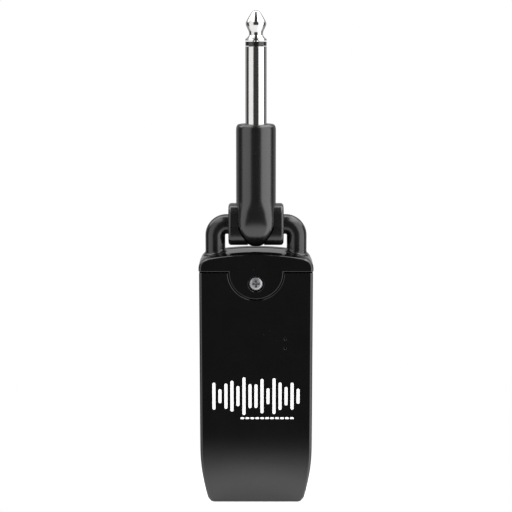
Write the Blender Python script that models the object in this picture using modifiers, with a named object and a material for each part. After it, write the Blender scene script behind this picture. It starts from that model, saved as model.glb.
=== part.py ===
"""Plug-in unit of a wireless guitar set: a jack plug on a tilting knuckle over a slim housing.

The unit stands on the flat end of its housing.  +Z is up, the front face looks along -Y and
the origin is the centre of the footprint, on the ground.  All sizes are written in millimetres
and multiplied by MM where they reach Blender.
"""

import math

import bmesh
import bpy
from mathutils import Matrix, Vector

MM = 0.001
GAP = 0.3                    # clearance between neighbouring pieces

# Housing
HALF_WIDTH = 17.05           # half width at the parting plane
HOUSING_TOP = 78.2           # height of the crown of the housing
FRONT_Y = -8.5               # front face
REAR_Y = 8.5                 # rear face
SPLIT_Y = 4.1                # parting plane between the front shell and the rear cover
WALL = 1.6
CROWN_RADIUS = 78.5          # long arc across the top
TOP_CORNER = 3.2             # corner radius at the top
BOTTOM_CORNER = 2.3          # corner radius at the base
TAPER_START = 18.0           # height where the sides start to draw in
TAPER_RADIUS = 64.0          # radius of the drawn-in sides
FACE_BEND_START = 33.0       # height where the front face starts to lean back
FACE_BEND_RADIUS = 200.0
FRONT_BEVEL = 0.7
REAR_ROUNDING = 1.8

# Top cap
SEAM_Z = 72.5
CAP_PROUD = 0.15             # the cap stands this far outside the shell
TONGUE_RADIUS = 8.15
TONGUE_DEPTH = 2.2
CAP_SCREW_Z = 69.0
SCREW_HEAD_RADIUS = 2.05

# Bracket and knuckle
AXIS_Y = -1.0                # depth of the hinge axis and of the plug
AXIS_Z = 86.1                # height of the hinge axis
BRACKET_RADIUS = 3.0
BRACKET_BORE = 1.9
BRACKET_LEG_X = 12.3
BRACKET_BEND = 3.4
BRACKET_FOOT_Z = 71.0
DRUM_RADIUS = 6.25
DRUM_HALF_DEPTH = 4.9        # the drum's section is a rounded block, less deep than it is high
DRUM_POWER = 3.2             # 2 would be an oval
DRUM_HALF_LENGTH = 8.3
BUSH_LENGTH = 1.8
BUSH_RADIUS = 3.9
FOOT_HALF_DEPTH = 6.95       # the barrel's foot stands proud of the drum
FOOT_Z = 89.5                # where the foot is deepest
FOOT_DROP = 10.2
FOOT_RISE = 5.0
BARREL_RADIUS = 5.97
BARREL_TOP = 116.2

# Plug
PLUG_RADIUS = 3.175          # a quarter inch plug is 6.35 mm across
SLEEVE_TOP = 139.1
RING_TOP = 140.65
TIP_TOP = 149.6
SLEEVE_BORE = 2.45
ROD_RADIUS = 1.0

# Buttons
BUTTON_Z = 44.2
BUTTON_Y = -1.5
BUTTON_LENGTH = 4.9
BUTTON_WIDTH = 2.2
BUTTON_FACE_X = 17.2
FLANGE_OUTER_X = 14.85

# Circuit board and what it carries
BOARD_FRONT = 1.0
BOARD_REAR = 2.0
BOARD_HALF_WIDTH = 13.4
BOARD_BOTTOM = 9.0
BOARD_TOP = 62.0
BOARD_SCREW_X = 11.2
BOARD_SCREW_Z = (12.0, 58.5)
LED_X = 8.8
LED_Z = {"upper": 52.2, "lower": 49.4}
SOCKET_Y = -1.0              # middle of the charging socket
SOCKET_HALF = (4.47, 1.63)   # half width and half height of the socket

ROUND = 32                   # sides of a turned piece


# ---------------------------------------------------------------- scene and materials

def clear_scene():
    """Remove whatever the file holds, so the model starts from nothing."""
    for item in list(bpy.data.objects):
        bpy.data.objects.remove(item, do_unlink=True)


def collection(name):
    """Make a collection in the scene."""
    made = bpy.data.collections.new(name)
    bpy.context.scene.collection.children.link(made)
    return made


def material(name, colour, roughness, metallic=0.0):
    """Make a Principled material."""
    made = bpy.data.materials.new(name)
    made.use_nodes = True
    shader = made.node_tree.nodes["Principled BSDF"]
    shader.inputs["Base Color"].default_value = (*colour, 1.0)
    shader.inputs["Roughness"].default_value = roughness
    shader.inputs["Metallic"].default_value = metallic
    return made


clear_scene()
PARTS = collection("wireless_guitar_plug_unit")
CUTTERS = collection("cutters")
GLOSS_BLACK = material("gloss_black", (0.012, 0.012, 0.013), 0.12)
SATIN_BLACK = material("satin_black", (0.02, 0.02, 0.021), 0.35)
PLUG_METAL = material("plug_metal", (0.72, 0.72, 0.73), 0.12, 1.0)
RING_BLACK = material("ring_black", (0.015, 0.015, 0.015), 0.4)
SCREW_STEEL = material("screw_steel", (0.35, 0.35, 0.36), 0.3, 1.0)
NATURAL_NYLON = material("natural_nylon", (0.75, 0.73, 0.66), 0.5)
BOARD_GREEN = material("board_green", (0.02, 0.12, 0.05), 0.4)
CHIP_BLACK = material("chip_black", (0.02, 0.02, 0.02), 0.6)
CAN_STEEL = material("can_steel", (0.6, 0.6, 0.6), 0.3, 1.0)
CELL_FOIL = material("cell_foil", (0.55, 0.56, 0.58), 0.35, 1.0)
FOAM_GREY = material("foam_grey", (0.1, 0.1, 0.1), 0.9)
CLEAR_PIPE = material("clear_pipe", (0.85, 0.87, 0.88), 0.1)
LEAD_RED = material("lead_red", (0.5, 0.02, 0.02), 0.45)
LEAD_BLACK = material("lead_black", (0.02, 0.02, 0.02), 0.45)
CERAMIC = material("ceramic", (0.8, 0.8, 0.76), 0.5)


# ---------------------------------------------------------------- building blocks

def finish(mesh, name, finish_material, is_cutter=False):
    """Turn a mesh into a named object, in the parts or among the cutters."""
    mesh.shade_smooth()
    mesh.set_sharp_from_angle(angle=math.radians(32))
    made = bpy.data.objects.new(name, mesh)
    if is_cutter:
        CUTTERS.objects.link(made)
        made.hide_render = True
        made.display_type = "WIRE"
    else:
        PARTS.objects.link(made)
        mesh.materials.append(finish_material)
    return made


def mesh_of(bm, name):
    """Write a bmesh to a new mesh and free it."""
    mesh = bpy.data.meshes.new(name)
    bmesh.ops.recalc_face_normals(bm, faces=bm.faces)
    bm.to_mesh(mesh)
    bm.free()
    return mesh


def block(name, low, high, surface=None):
    """A box between two corners, in millimetres.  Without a surface it is a cutter."""
    bm = bmesh.new()
    bmesh.ops.create_cube(bm, size=1.0)
    size = [(b - a) * MM for a, b in zip(low, high)]
    bmesh.ops.scale(bm, vec=size, verts=bm.verts)
    made = finish(mesh_of(bm, name), name, surface, surface is None)
    made.location = [(a + b) / 2 * MM for a, b in zip(low, high)]
    return made


def rod(name, radius, start, end, axis, surface=None, sides=ROUND):
    """A cylinder along X, Y or Z whose middle line starts at start and reaches end on that axis."""
    bm = bmesh.new()
    length = abs(end - start["XYZ".index(axis)]) * MM
    bmesh.ops.create_cone(bm, cap_ends=True, segments=sides, radius1=radius * MM,
                          radius2=radius * MM, depth=length)
    made = finish(mesh_of(bm, name), name, surface, surface is None)
    middle = list(start)
    middle["XYZ".index(axis)] = (start["XYZ".index(axis)] + end) / 2
    made.location = [value * MM for value in middle]
    made.rotation_euler = {"X": (0, math.pi / 2, 0), "Y": (math.pi / 2, 0, 0), "Z": (0, 0, 0)}[axis]
    return made


def turned(name, profile, surface=None, closed=False, sides=ROUND):
    """Turn a profile of (radius, height) points about Z; it runs down its outer side."""
    mesh = bpy.data.meshes.new(name)
    points = [(radius * MM, 0.0, height * MM) for radius, height in profile]
    edges = [(i, i + 1) for i in range(len(points) - 1)]
    if closed:
        edges.append((len(points) - 1, 0))
    mesh.from_pydata(points, edges, [])
    made = finish(mesh, name, surface, surface is None)
    screw = made.modifiers.new("Turn", "SCREW")
    screw.steps = sides
    screw.render_steps = sides
    screw.use_merge_vertices = True
    screw.merge_threshold = 0.000005
    screw.use_smooth_shade = True
    return made


def prism(name, outline, low_y, high_y, surface=None):
    """A flat outline of (x, z) points, filled and given depth along Y."""
    curve = bpy.data.curves.new(name, "CURVE")
    curve.dimensions = "2D"
    curve.fill_mode = "BOTH"
    curve.extrude = (high_y - low_y) / 2 * MM
    spline = curve.splines.new("POLY")
    spline.points.add(len(outline) - 1)
    for point, (x, z) in zip(spline.points, outline):
        point.co = (x * MM, z * MM, 0.0, 1.0)
    spline.use_cyclic_u = True
    guide = bpy.data.objects.new(name + "_curve", curve)
    CUTTERS.objects.link(guide)
    mesh = bpy.data.meshes.new_from_object(guide.evaluated_get(bpy.context.evaluated_depsgraph_get()))
    bpy.data.objects.remove(guide, do_unlink=True)
    bm = bmesh.new()
    bm.from_mesh(mesh)
    bmesh.ops.remove_doubles(bm, verts=bm.verts, dist=0.000002)
    bmesh.ops.dissolve_limit(bm, angle_limit=0.01, verts=bm.verts, edges=bm.edges)
    bmesh.ops.rotate(bm, matrix=Matrix.Rotation(math.pi / 2, 3, "X"), verts=bm.verts)
    made = finish(mesh_of(bm, name), name, surface, surface is None)
    made.location.y = (low_y + high_y) / 2 * MM
    return made


def tube(name, points, radius, surface=None, resolution=2):
    """A round bar along points, in millimetres, welded into a closed mesh."""
    curve = bpy.data.curves.new(name, "CURVE")
    curve.dimensions = "3D"
    curve.bevel_depth = radius * MM
    curve.bevel_resolution = resolution
    curve.use_fill_caps = True
    spline = curve.splines.new("POLY")
    spline.points.add(len(points) - 1)
    for point, place in zip(spline.points, points):
        point.co = (*[value * MM for value in place], 1.0)
    guide = bpy.data.objects.new(name + "_curve", curve)
    CUTTERS.objects.link(guide)
    mesh = bpy.data.meshes.new_from_object(guide.evaluated_get(bpy.context.evaluated_depsgraph_get()))
    bpy.data.objects.remove(guide, do_unlink=True)
    bm = bmesh.new()
    bm.from_mesh(mesh)
    bmesh.ops.remove_doubles(bm, verts=bm.verts, dist=0.000002)
    return finish(mesh_of(bm, name), name, surface, surface is None)


def combine(target, *tools, operation="DIFFERENCE"):
    """Cut, join or intersect a piece with each tool in turn."""
    for tool in tools:
        boolean = target.modifiers.new(tool.name, "BOOLEAN")
        boolean.operation = operation
        boolean.solver = "EXACT"
        boolean.object = tool
    return target


def round_rim(target, width, segments=1, limit=60):
    """Bevel a piece's edges that are sharper than the limit, in degrees."""
    bevel = target.modifiers.new("Rim", "BEVEL")
    bevel.width = width * MM
    bevel.segments = segments
    bevel.limit_method = "ANGLE"
    bevel.angle_limit = math.radians(limit)
    bevel.use_clamp_overlap = False


def arc(centre, radius, start, end, steps):
    """Points on an arc, with angles in degrees."""
    angles = [math.radians(start + (end - start) * i / steps) for i in range(steps + 1)]
    return [(centre[0] + radius * math.cos(a), centre[1] + radius * math.sin(a)) for a in angles]


# ---------------------------------------------------------------- housing

def housing_outline(inset=0.0, foot=0.0):
    """The housing seen from the front, drawn in by inset, with its base raised by foot."""
    half = HALF_WIDTH - inset
    corner = max(BOTTOM_CORNER - inset, 0.5)
    taper = TAPER_RADIUS - inset
    taper_x = half - taper
    corner_x = taper_x + math.sqrt((taper - corner) ** 2 - (TAPER_START - foot - corner) ** 2)
    low = math.degrees(math.atan2(foot + corner - TAPER_START, corner_x - taper_x))
    top_corner = TOP_CORNER - inset
    crown = CROWN_RADIUS - inset
    crown_z = HOUSING_TOP - CROWN_RADIUS
    corner_z = crown_z + math.sqrt((crown - top_corner) ** 2 - (half - top_corner) ** 2)
    lean = math.degrees(math.atan2(corner_z - crown_z, half - top_corner))
    right = arc((corner_x, foot + corner), corner, -90, low, 4)
    right += arc((taper_x, TAPER_START), taper, low, 0, 6)[1:]
    right += arc((half - top_corner, corner_z), top_corner, 0, lean, 5)
    right += arc((0.0, crown_z), crown, lean, 90, 7)[1:-1]
    left = [(-x, z) for x, z in reversed(right)]
    return right + [(0.0, crown_z + crown)] + left


def face_profile(inset=0.0):
    """The front face seen from the side, as a cutter that keeps what lies behind it."""
    steps = 8
    bend = math.degrees(math.asin((FACE_BEND_START + 4.0) / FACE_BEND_RADIUS))
    centre = (FRONT_Y + FACE_BEND_RADIUS, FACE_BEND_START)
    face = arc(centre, FACE_BEND_RADIUS - inset, 180 + bend, 180, steps)
    return face + [(FRONT_Y + inset, 95.0), (20.0, 95.0), (20.0, face[0][1])]


def side_prism(name, outline, half_width):
    """An outline of (y, z) points given width along X, as a cutter."""
    made = prism(name, outline, -half_width, half_width)
    made.rotation_euler = (0, 0, math.pi / 2)
    made.location = (0, 0, 0)
    return made


def housing_front(name, proud=0.0):
    """The solid behind the leaning face, with a bevelled rim, not yet cut at the back."""
    solid = prism(name, housing_outline(-proud), FRONT_Y - 5.5, SPLIT_Y + 3.0, GLOSS_BLACK)
    combine(solid, side_prism(name + "_face", face_profile(), 40.0), operation="INTERSECT")
    round_rim(solid, FRONT_BEVEL)
    return solid


def top_region(name, grow):
    """What belongs to the cap: everything above the seam and the round tongue at the front."""
    slab = block(name, (-30, -20, SEAM_Z + GAP / 2 - grow), (30, SPLIT_Y - GAP / 2 + 20 * grow, 100))
    tongue = rod(name + "_tongue", TONGUE_RADIUS + grow, (0, -20, SEAM_Z), FRONT_Y + TONGUE_DEPTH + grow, "Y",
                 sides=64)
    return combine(slab, tongue, operation="UNION")


def make_top_cap():
    """The cap carries the bracket and is held by one screw through its tongue."""
    cap = housing_front("top_cap", CAP_PROUD)
    combine(cap, top_region("cap_region", 0.0), operation="INTERSECT")
    combine(cap, prism("cap_hollow", housing_outline(WALL), FRONT_Y + TONGUE_DEPTH, 20.0))
    for side in (-1, 1):
        leg = (side * BRACKET_LEG_X, AXIS_Y, 60)
        combine(cap, rod(f"leg_hole_{side}", BRACKET_RADIUS + GAP, leg, 90, "Z"))
    combine(cap, rod("head_well", SCREW_HEAD_RADIUS + GAP, (0, -20, CAP_SCREW_Z), FRONT_Y + 1.4, "Y"))
    combine(cap, rod("shank_hole", 1.3, (0, -20, CAP_SCREW_Z), 0.0, "Y", sides=16))
    return cap


def make_front_shell():
    """The front shell: face, side walls, base, the seat under the tongue and the board posts."""
    shell = housing_front("front_shell")
    combine(shell, block("shell_keep", (-40, -20, -20), (40, SPLIT_Y - GAP / 2, 120)), operation="INTERSECT")
    hollow = prism("shell_hollow", housing_outline(WALL, WALL), -14.0, 20.0)
    combine(hollow, side_prism("shell_hollow_face", face_profile(WALL), 40.0), operation="INTERSECT")
    combine(shell, hollow)
    seat = rod("tongue_seat", TONGUE_RADIUS + 2.0, (0, FRONT_Y + 1.3, SEAM_Z), FRONT_Y + 3.9, "Y", sides=48)
    post = rod("cap_screw_post", 2.4, (0, FRONT_Y + 3.0, CAP_SCREW_Z), -0.8, "Y", sides=20)
    combine(shell, seat, post, operation="UNION")
    for side in (-1, 1):
        for level, height in enumerate(BOARD_SCREW_Z):
            place = (side * BOARD_SCREW_X, FRONT_Y + 2.6 if level == 0 else FRONT_Y + 1.3, height)
            combine(shell, rod(f"board_post_{side}_{level}", 2.0, place, BOARD_FRONT - GAP, "Y", sides=16),
                    operation="UNION")
    combine(shell, top_region("shell_top_region", GAP))
    combine(shell, rod("cap_screw_pilot", 1.3, (0, -7.0, CAP_SCREW_Z), -1.9, "Y", sides=16))
    for side in (-1, 1):
        for level, height in enumerate(BOARD_SCREW_Z):
            pilot = (side * BOARD_SCREW_X, -3.4, height)
            combine(shell, rod(f"board_pilot_{side}_{level}", 1.1, pilot, 6.0, "Y", sides=12))
        slot = block(f"button_slot_{side}", (side * 17.5 - 3, BUTTON_Y - BUTTON_WIDTH / 2 - GAP,
                                             BUTTON_Z - BUTTON_LENGTH / 2 - GAP),
                     (side * 17.5 + 3, BUTTON_Y + BUTTON_WIDTH / 2 + GAP, BUTTON_Z + BUTTON_LENGTH / 2 + GAP))
        combine(shell, slot)
    for level, height in LED_Z.items():
        combine(shell, rod("led_pinhole_" + level, 0.3, (LED_X, -12.0, height), -5.0, "Y", sides=10))
    combine(shell, socket_section("socket_mouth", GAP + 0.05, -2.0, 3.0))
    return shell


def make_rear_cover():
    """The rear cover closes the back from the base to the crown and clips into the shell."""
    cover = prism("rear_cover", housing_outline(), SPLIT_Y + GAP / 2, REAR_Y, GLOSS_BLACK)
    front_edge = block("cover_edge_stop", (-40, SPLIT_Y - 3.0, -10), (40, SPLIT_Y + GAP / 2, 95))
    rim = cover.modifiers.new("Rear rounding", "BEVEL")
    rim.width = REAR_ROUNDING * MM
    rim.segments = 4
    rim.limit_method = "WEIGHT"
    rim.use_clamp_overlap = False
    mark_rear_rim(cover)
    combine(cover, front_edge)
    combine(cover, prism("cover_hollow", housing_outline(WALL, WALL), SPLIT_Y - 1.0, REAR_Y - WALL))
    for side in (-1, 1):
        for height in (26.0, 64.0):
            clip = block(f"clip_{side}_{height:.0f}", (min(side * 14.2, side * 15.0), 1.6, height - 3.0),
                         (max(side * 14.2, side * 15.0), REAR_Y - 1.2, height + 3.0))
            combine(cover, clip, operation="UNION")
    return cover


def mark_rear_rim(cover):
    """Give the edges around the rear face full bevel weight."""
    bm = bmesh.new()
    bm.from_mesh(cover.data)
    weight = bm.edges.layers.float.new("bevel_weight_edge")
    rear = max(vert.co.y for vert in bm.verts) - 0.00001
    for edge in bm.edges:
        if all(vert.co.y > rear for vert in edge.verts):
            edge[weight] = 1.0
    bm.to_mesh(cover.data)
    bm.free()


def make_cap_screw():
    """The cross-recessed screw that holds the cap's tongue."""
    front = FRONT_Y + 0.2
    head = SCREW_HEAD_RADIUS
    profile = [(0.0, 0.0), (head * 0.7, -0.05), (head * 0.95, -0.25), (head, -0.5), (head, -0.9),
               (1.0, -0.9), (1.0, -6.0), (0.6, -6.4), (0.0, -6.4)]
    screw = turned("cap_screw", profile, SCREW_STEEL, sides=24)
    screw.rotation_euler = (math.pi / 2, 0, 0)
    screw.location = (0, front * MM, CAP_SCREW_Z * MM)
    for name, size in (("cross_wide", (1.1, 0.28)), ("cross_tall", (0.28, 1.1))):
        combine(screw, block(name, (-size[0], front - 1.0, CAP_SCREW_Z - size[1]),
                             (size[0], front + 0.6, CAP_SCREW_Z + size[1])))


# ---------------------------------------------------------------- bracket

def bracket_path(reach=0.0):
    """The middle line of the bracket, from the left foot over the top to the right foot."""
    x = BRACKET_LEG_X
    top = AXIS_Z - BRACKET_BEND
    left = arc((-x + BRACKET_BEND, top), BRACKET_BEND, 180, 90, 8)
    right = arc((x - BRACKET_BEND, top), BRACKET_BEND, 90, 0, 8)
    foot = BRACKET_FOOT_Z - reach
    flat = [(-x, foot)] + left + right + [(x, foot)]
    return [(px, AXIS_Y, pz) for px, pz in flat]


def make_bracket():
    """The bent tube that carries the knuckle, its bore and the retaining clips on its legs under the cap."""
    bracket = tube("u_bracket", bracket_path(), BRACKET_RADIUS, GLOSS_BLACK, 10)
    combine(bracket, tube("bracket_bore", bracket_path(2.0), BRACKET_BORE, resolution=4))
    combine(bracket, block("lead_window", (-2.0, AXIS_Y - 1.3, AXIS_Z + 0.5),
                           (2.0, AXIS_Y + 1.3, AXIS_Z + 5.0)))
    for side, name in ((-1, "left"), (1, "right")):
        inner = BRACKET_RADIUS + GAP
        outer = inner + 1.1
        low = SEAM_Z + 0.4
        ring = [(outer, low + 1.0), (outer, low), (inner, low), (inner, low + 1.0)]
        clip = turned(f"bracket_clip_{name}", ring, SCREW_STEEL, closed=True, sides=24)
        clip.location = (side * BRACKET_LEG_X * MM, AXIS_Y * MM, 0)
        wall = HALF_WIDTH - WALL - GAP
        low_x, high_x = sorted((side * wall, side * 20.0))
        combine(clip, block(f"clip_mouth_{name}", (low_x, -12.0, low - 1.0), (high_x, 12.0, low + 2.0)))


def lead_path(side):
    """A lead's way from the board's top edge up through one leg to the window in the cross-bar."""
    x = BRACKET_LEG_X
    top = AXIS_Z - BRACKET_BEND
    bend = arc((x - BRACKET_BEND, top), BRACKET_BEND, 0, 90, 6)
    flat = [(side * px, AXIS_Y, pz) for px, pz in bend]
    start = [(side * 8.0, 1.2, BOARD_TOP + 1.0), (side * 8.6, 0.8, BOARD_TOP + 3.0),
             (side * 10.6, -0.3, BOARD_TOP + 6.0), (side * 12.0, AXIS_Y, BOARD_TOP + 8.4)]
    return start + flat + [(side * 0.9, AXIS_Y, AXIS_Z)]


def make_leads():
    """The two signal leads that run through the bracket."""
    for side, name, surface in ((-1, "tip_lead", LEAD_RED), (1, "sleeve_lead", LEAD_BLACK)):
        tube(name, lead_path(side), 0.5, surface)


# ---------------------------------------------------------------- knuckle and plug

def superellipse(angle, half_x, half_y, power):
    """The point of a superellipse at an angle."""
    c, s = math.cos(angle), math.sin(angle)
    return (half_x * math.copysign(abs(c) ** (2 / power), c),
            half_y * math.copysign(abs(s) ** (2 / power), s))


def boss(name, grow=0.0):
    """The barrel's foot: round at the top, squarer and deeper at the hinge, rounded off below."""
    bm = bmesh.new()
    bmesh.ops.create_uvsphere(bm, u_segments=40, v_segments=24, radius=1.0)
    for vert in bm.verts:
        height = vert.co.z
        angle = math.atan2(vert.co.y, vert.co.x)
        lift = max(height, 0.0)
        if height < 0:
            shrink = math.sqrt(max(1 - height ** 2, 0.0))
            level = height * (FOOT_DROP + grow)
        else:
            shrink = 0.0 if height > 0.9999 else 1.0
            level = height * FOOT_RISE
        blend = (1 - lift) ** 2 * (1 + 2 * lift)
        half_x = BARREL_RADIUS - 0.06 + grow
        half_y = half_x + (FOOT_HALF_DEPTH + grow - half_x) * blend
        x, y = superellipse(angle, half_x, half_y, 2 + blend + min(max(-height / 0.35, 0.0), 1.0))
        vert.co = Vector((x * shrink, y * shrink, level)) * MM
    made = finish(mesh_of(bm, name), name, GLOSS_BLACK, True)
    made.location = (0, AXIS_Y * MM, FOOT_Z * MM)
    return made


def drum(name, surface=None):
    """The cross-piece of the knuckle, along the hinge axis."""
    edge = arc((DRUM_RADIUS - 0.9, 0.9 - DRUM_HALF_LENGTH), 0.9, -90, 0, 3)
    half = [(radius, height) for radius, height in edge]
    profile = [(0.0, DRUM_HALF_LENGTH)] + [(r, -h) for r, h in half] + list(reversed(half))
    profile.append((0.0, -DRUM_HALF_LENGTH))
    made = turned(name, profile, surface, sides=40)
    for vert in made.data.vertices:
        x, y = vert.co.x, vert.co.y
        if math.hypot(x, y) > 1e-6:
            round_sum = (abs(x) ** DRUM_POWER + abs(y) ** DRUM_POWER) ** (1 / DRUM_POWER)
            swell = math.hypot(x, y) / round_sum
            vert.co.x, vert.co.y = x * swell, y * swell * DRUM_HALF_DEPTH / DRUM_RADIUS
    made.rotation_euler = (0, math.pi / 2, 0)
    made.location = (0, AXIS_Y * MM, AXIS_Z * MM)
    return made


def hinge_bore(name):
    """A stepped cutter along the hinge axis: the bore for the cross-bar and a seat for each bush."""
    bore = BRACKET_RADIUS + GAP
    seat = BUSH_RADIUS + GAP
    step = DRUM_HALF_LENGTH - BUSH_LENGTH - GAP
    profile = [(0.0, 20.0), (seat, 20.0), (seat, step), (bore, step), (bore, -step), (seat, -step),
               (seat, -20.0), (0.0, -20.0)]
    made = turned(name, profile, sides=36)
    made.rotation_euler = (0, math.pi / 2, 0)
    made.location = (0, AXIS_Y * MM, AXIS_Z * MM)
    return made


def make_barrel(pivot):
    """The barrel with its foot and the upper half of the drum, one moulding."""
    top = BARREL_TOP
    outer = [(0.0, top), (BARREL_RADIUS - 0.7, top), (BARREL_RADIUS - 0.3, top - 0.35),
             (BARREL_RADIUS - 0.06, top - 1.0), (BARREL_RADIUS, top - 1.7), (BARREL_RADIUS, AXIS_Z + 1.0),
             (0.0, AXIS_Z + 1.0)]
    barrel = turned("plug_barrel", outer, GLOSS_BLACK, sides=40)
    barrel.location.y = AXIS_Y * MM
    combine(barrel, drum("drum_upper"), operation="UNION")
    for side in (-1, 1):
        combine(barrel, block(f"drum_lower_{side}", (min(side * 1.2, side * 12), AXIS_Y - 12, AXIS_Z - 12),
                              (max(side * 1.2, side * 12), AXIS_Y + 12, AXIS_Z - 0.3)))
    combine(barrel, boss("barrel_boss"), operation="UNION")
    combine(barrel, hinge_bore("barrel_bore"))
    room = [(0.0, top + 1.0), (PLUG_RADIUS + GAP, top + 1.0), (PLUG_RADIUS + GAP, top - 1.6),
            (4.6, top - 1.6), (4.6, AXIS_Z + 8.0), (2.2, AXIS_Z + 6.0), (2.2, AXIS_Z), (0.0, AXIS_Z)]
    inside = turned("barrel_room", room)
    inside.location.y = AXIS_Y * MM
    combine(barrel, inside)
    ride(barrel, pivot)


def make_knuckle_closures(pivot):
    """The two lower closures that shut the drum around the cross-bar."""
    for side, name in ((-1, "left"), (1, "right")):
        closure = drum(f"knuckle_closure_{name}", SATIN_BLACK)
        keep = block(f"closure_keep_{name}", (min(side * 1.0, side * 12), AXIS_Y - 12, AXIS_Z - 12),
                     (max(side * 1.0, side * 12), AXIS_Y + 12, AXIS_Z - 0.3 - GAP))
        combine(closure, keep, operation="INTERSECT")
        combine(closure, boss(f"closure_boss_{name}", GAP))
        combine(closure, hinge_bore(f"closure_bore_{name}"))
        ride(closure, pivot)


def make_bushes(pivot):
    """Friction bushes between the cross-bar and the drum."""
    for side, name in ((-1, "left"), (1, "right")):
        inner = BRACKET_RADIUS + GAP
        low = DRUM_HALF_LENGTH - BUSH_LENGTH
        ring = [(BUSH_RADIUS, DRUM_HALF_LENGTH - 0.1), (BUSH_RADIUS, low), (inner, low),
                (inner, DRUM_HALF_LENGTH - 0.1)]
        bush = turned(f"friction_bush_{name}", ring, NATURAL_NYLON, closed=True, sides=28)
        bush.rotation_euler = (0, side * math.pi / 2, 0)
        bush.location = (0, AXIS_Y * MM, AXIS_Z * MM)
        ride(bush, pivot)


def make_plug(pivot):
    """The plug: sleeve, tip with its rod, the insulator between them and the two solder tags."""
    r = PLUG_RADIUS
    inside_top = BARREL_TOP - 1.6 - GAP
    sleeve = [(r, SLEEVE_TOP), (r, inside_top), (4.2, inside_top), (4.2, inside_top - 3.0),
              (SLEEVE_BORE, inside_top - 3.0), (SLEEVE_BORE, SLEEVE_TOP)]
    ring_top, ring_low = RING_TOP - GAP / 2, SLEEVE_TOP + GAP / 2
    insulator = [(r - 0.03, ring_top), (r - 0.03, ring_low), (SLEEVE_BORE - GAP, ring_low),
                 (SLEEVE_BORE - GAP, inside_top - 6.0), (ROD_RADIUS + GAP, inside_top - 6.0),
                 (ROD_RADIUS + GAP, ring_top)]
    base = RING_TOP + GAP / 2
    outline = [(0.0, 0.0), (0.7, 0.12), (1.25, 0.55), (2.2, 2.1), (2.95, 3.4), (3.05, 3.85), (2.95, 4.4),
               (2.35, 5.6), (2.03, 6.7), (2.2, 7.5), (2.8, 8.2), (r, 8.45)]
    tip = [(radius, TIP_TOP - drop) for radius, drop in outline]
    tip += [(r, base), (ROD_RADIUS, base), (ROD_RADIUS, inside_top - 9.0), (0.0, inside_top - 9.0)]
    tag_top = inside_top - 6.0 - GAP
    sleeve_tag_top = inside_top - 3.0 - GAP
    tag = [(2.0, tag_top), (2.0, tag_top - 0.8), (ROD_RADIUS + GAP, tag_top - 0.8),
           (ROD_RADIUS + GAP, tag_top)]
    ring_tag = [(4.0, sleeve_tag_top), (4.0, sleeve_tag_top - 0.8), (SLEEVE_BORE, sleeve_tag_top - 0.8),
                (SLEEVE_BORE, sleeve_tag_top)]
    pieces = [turned("plug_sleeve", sleeve, PLUG_METAL, True, 40),
              turned("plug_insulator", insulator, RING_BLACK, True),
              turned("plug_tip", tip, PLUG_METAL, False, 40), turned("tip_tag", tag, SCREW_STEEL, True, 20),
              turned("sleeve_tag", ring_tag, SCREW_STEEL, True, 28)]
    for piece in pieces:
        piece.location.y = AXIS_Y * MM
        ride(piece, pivot)


def ride(piece, pivot):
    """Hang a piece on the hinge's empty without moving it."""
    bpy.context.view_layer.update()
    piece.parent = pivot
    piece.matrix_parent_inverse = pivot.matrix_world.inverted()


def make_plug_leads(pivot):
    """The short leads inside the barrel, from the solder tags down to the window in the cross-bar."""
    low = AXIS_Z + BRACKET_RADIUS + 0.4
    routes = {"plug_tail_tip": [(-1.1, AXIS_Y, low), (-1.3, AXIS_Y, low + 3.0), (-1.7, AXIS_Y, low + 7.0),
                                (-1.6, AXIS_Y, BARREL_TOP - 9.2)],
              "plug_tail_sleeve": [(1.1, AXIS_Y, low), (1.5, AXIS_Y, low + 3.0), (3.0, AXIS_Y, low + 7.0),
                                   (3.2, AXIS_Y, BARREL_TOP - 6.5)]}
    for name, points in routes.items():
        ride(tube(name, points, 0.45, LEAD_RED if name.endswith("tip") else LEAD_BLACK), pivot)


# ---------------------------------------------------------------- buttons and switches

def make_button(side, name):
    """A side button with its flange, and the switch that it presses on the board."""
    def across(x1, x2, half_y, half_z, middle_y=BUTTON_Y):
        low, high = sorted((side * x1, side * x2))
        return (low, middle_y - half_y, BUTTON_Z - half_z), (high, middle_y + half_y, BUTTON_Z + half_z)

    button = block(f"{name}_button", *across(FLANGE_OUTER_X - 0.85, FLANGE_OUTER_X, 2.0, 3.3), GLOSS_BLACK)
    stem = block(f"{name}_stem", *across(FLANGE_OUTER_X - 0.2, BUTTON_FACE_X, BUTTON_WIDTH / 2, BUTTON_LENGTH / 2))
    round_rim(stem, 0.3, 2)
    combine(button, stem, operation="UNION")
    block(f"{name}_switch_plunger", *across(12.6, 13.7, 0.7, 1.0), NATURAL_NYLON)
    block(f"{name}_switch_body", *across(9.6, 12.2, 1.8, 2.2, BOARD_FRONT - GAP - 1.8), CHIP_BLACK)


# ---------------------------------------------------------------- inside the housing

def make_board():
    """The circuit board with its screw holes, and its four screws."""
    board = block("circuit_board", (-BOARD_HALF_WIDTH, BOARD_FRONT, BOARD_BOTTOM),
                  (BOARD_HALF_WIDTH, BOARD_REAR, BOARD_TOP), BOARD_GREEN)
    for side, name in ((-1, "left"), (1, "right")):
        for level, height in zip(("lower", "upper"), BOARD_SCREW_Z):
            place = (side * BOARD_SCREW_X, -4.0, height)
            combine(board, rod(f"board_hole_{name}_{level}", 1.1, place, 8.0, "Y", sides=16))
            rear = BOARD_REAR + GAP
            profile = [(0.0, rear + 1.0), (1.3, rear + 0.9), (1.6, rear + 0.5), (1.6, rear), (0.8, rear),
                       (0.8, -2.8), (0.0, -3.2)]
            screw = turned(f"board_screw_{name}_{level}", profile, SCREW_STEEL, sides=16)
            screw.rotation_euler = (-math.pi / 2, 0, 0)
            screw.location = (side * BOARD_SCREW_X * MM, 0, height * MM)


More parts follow.
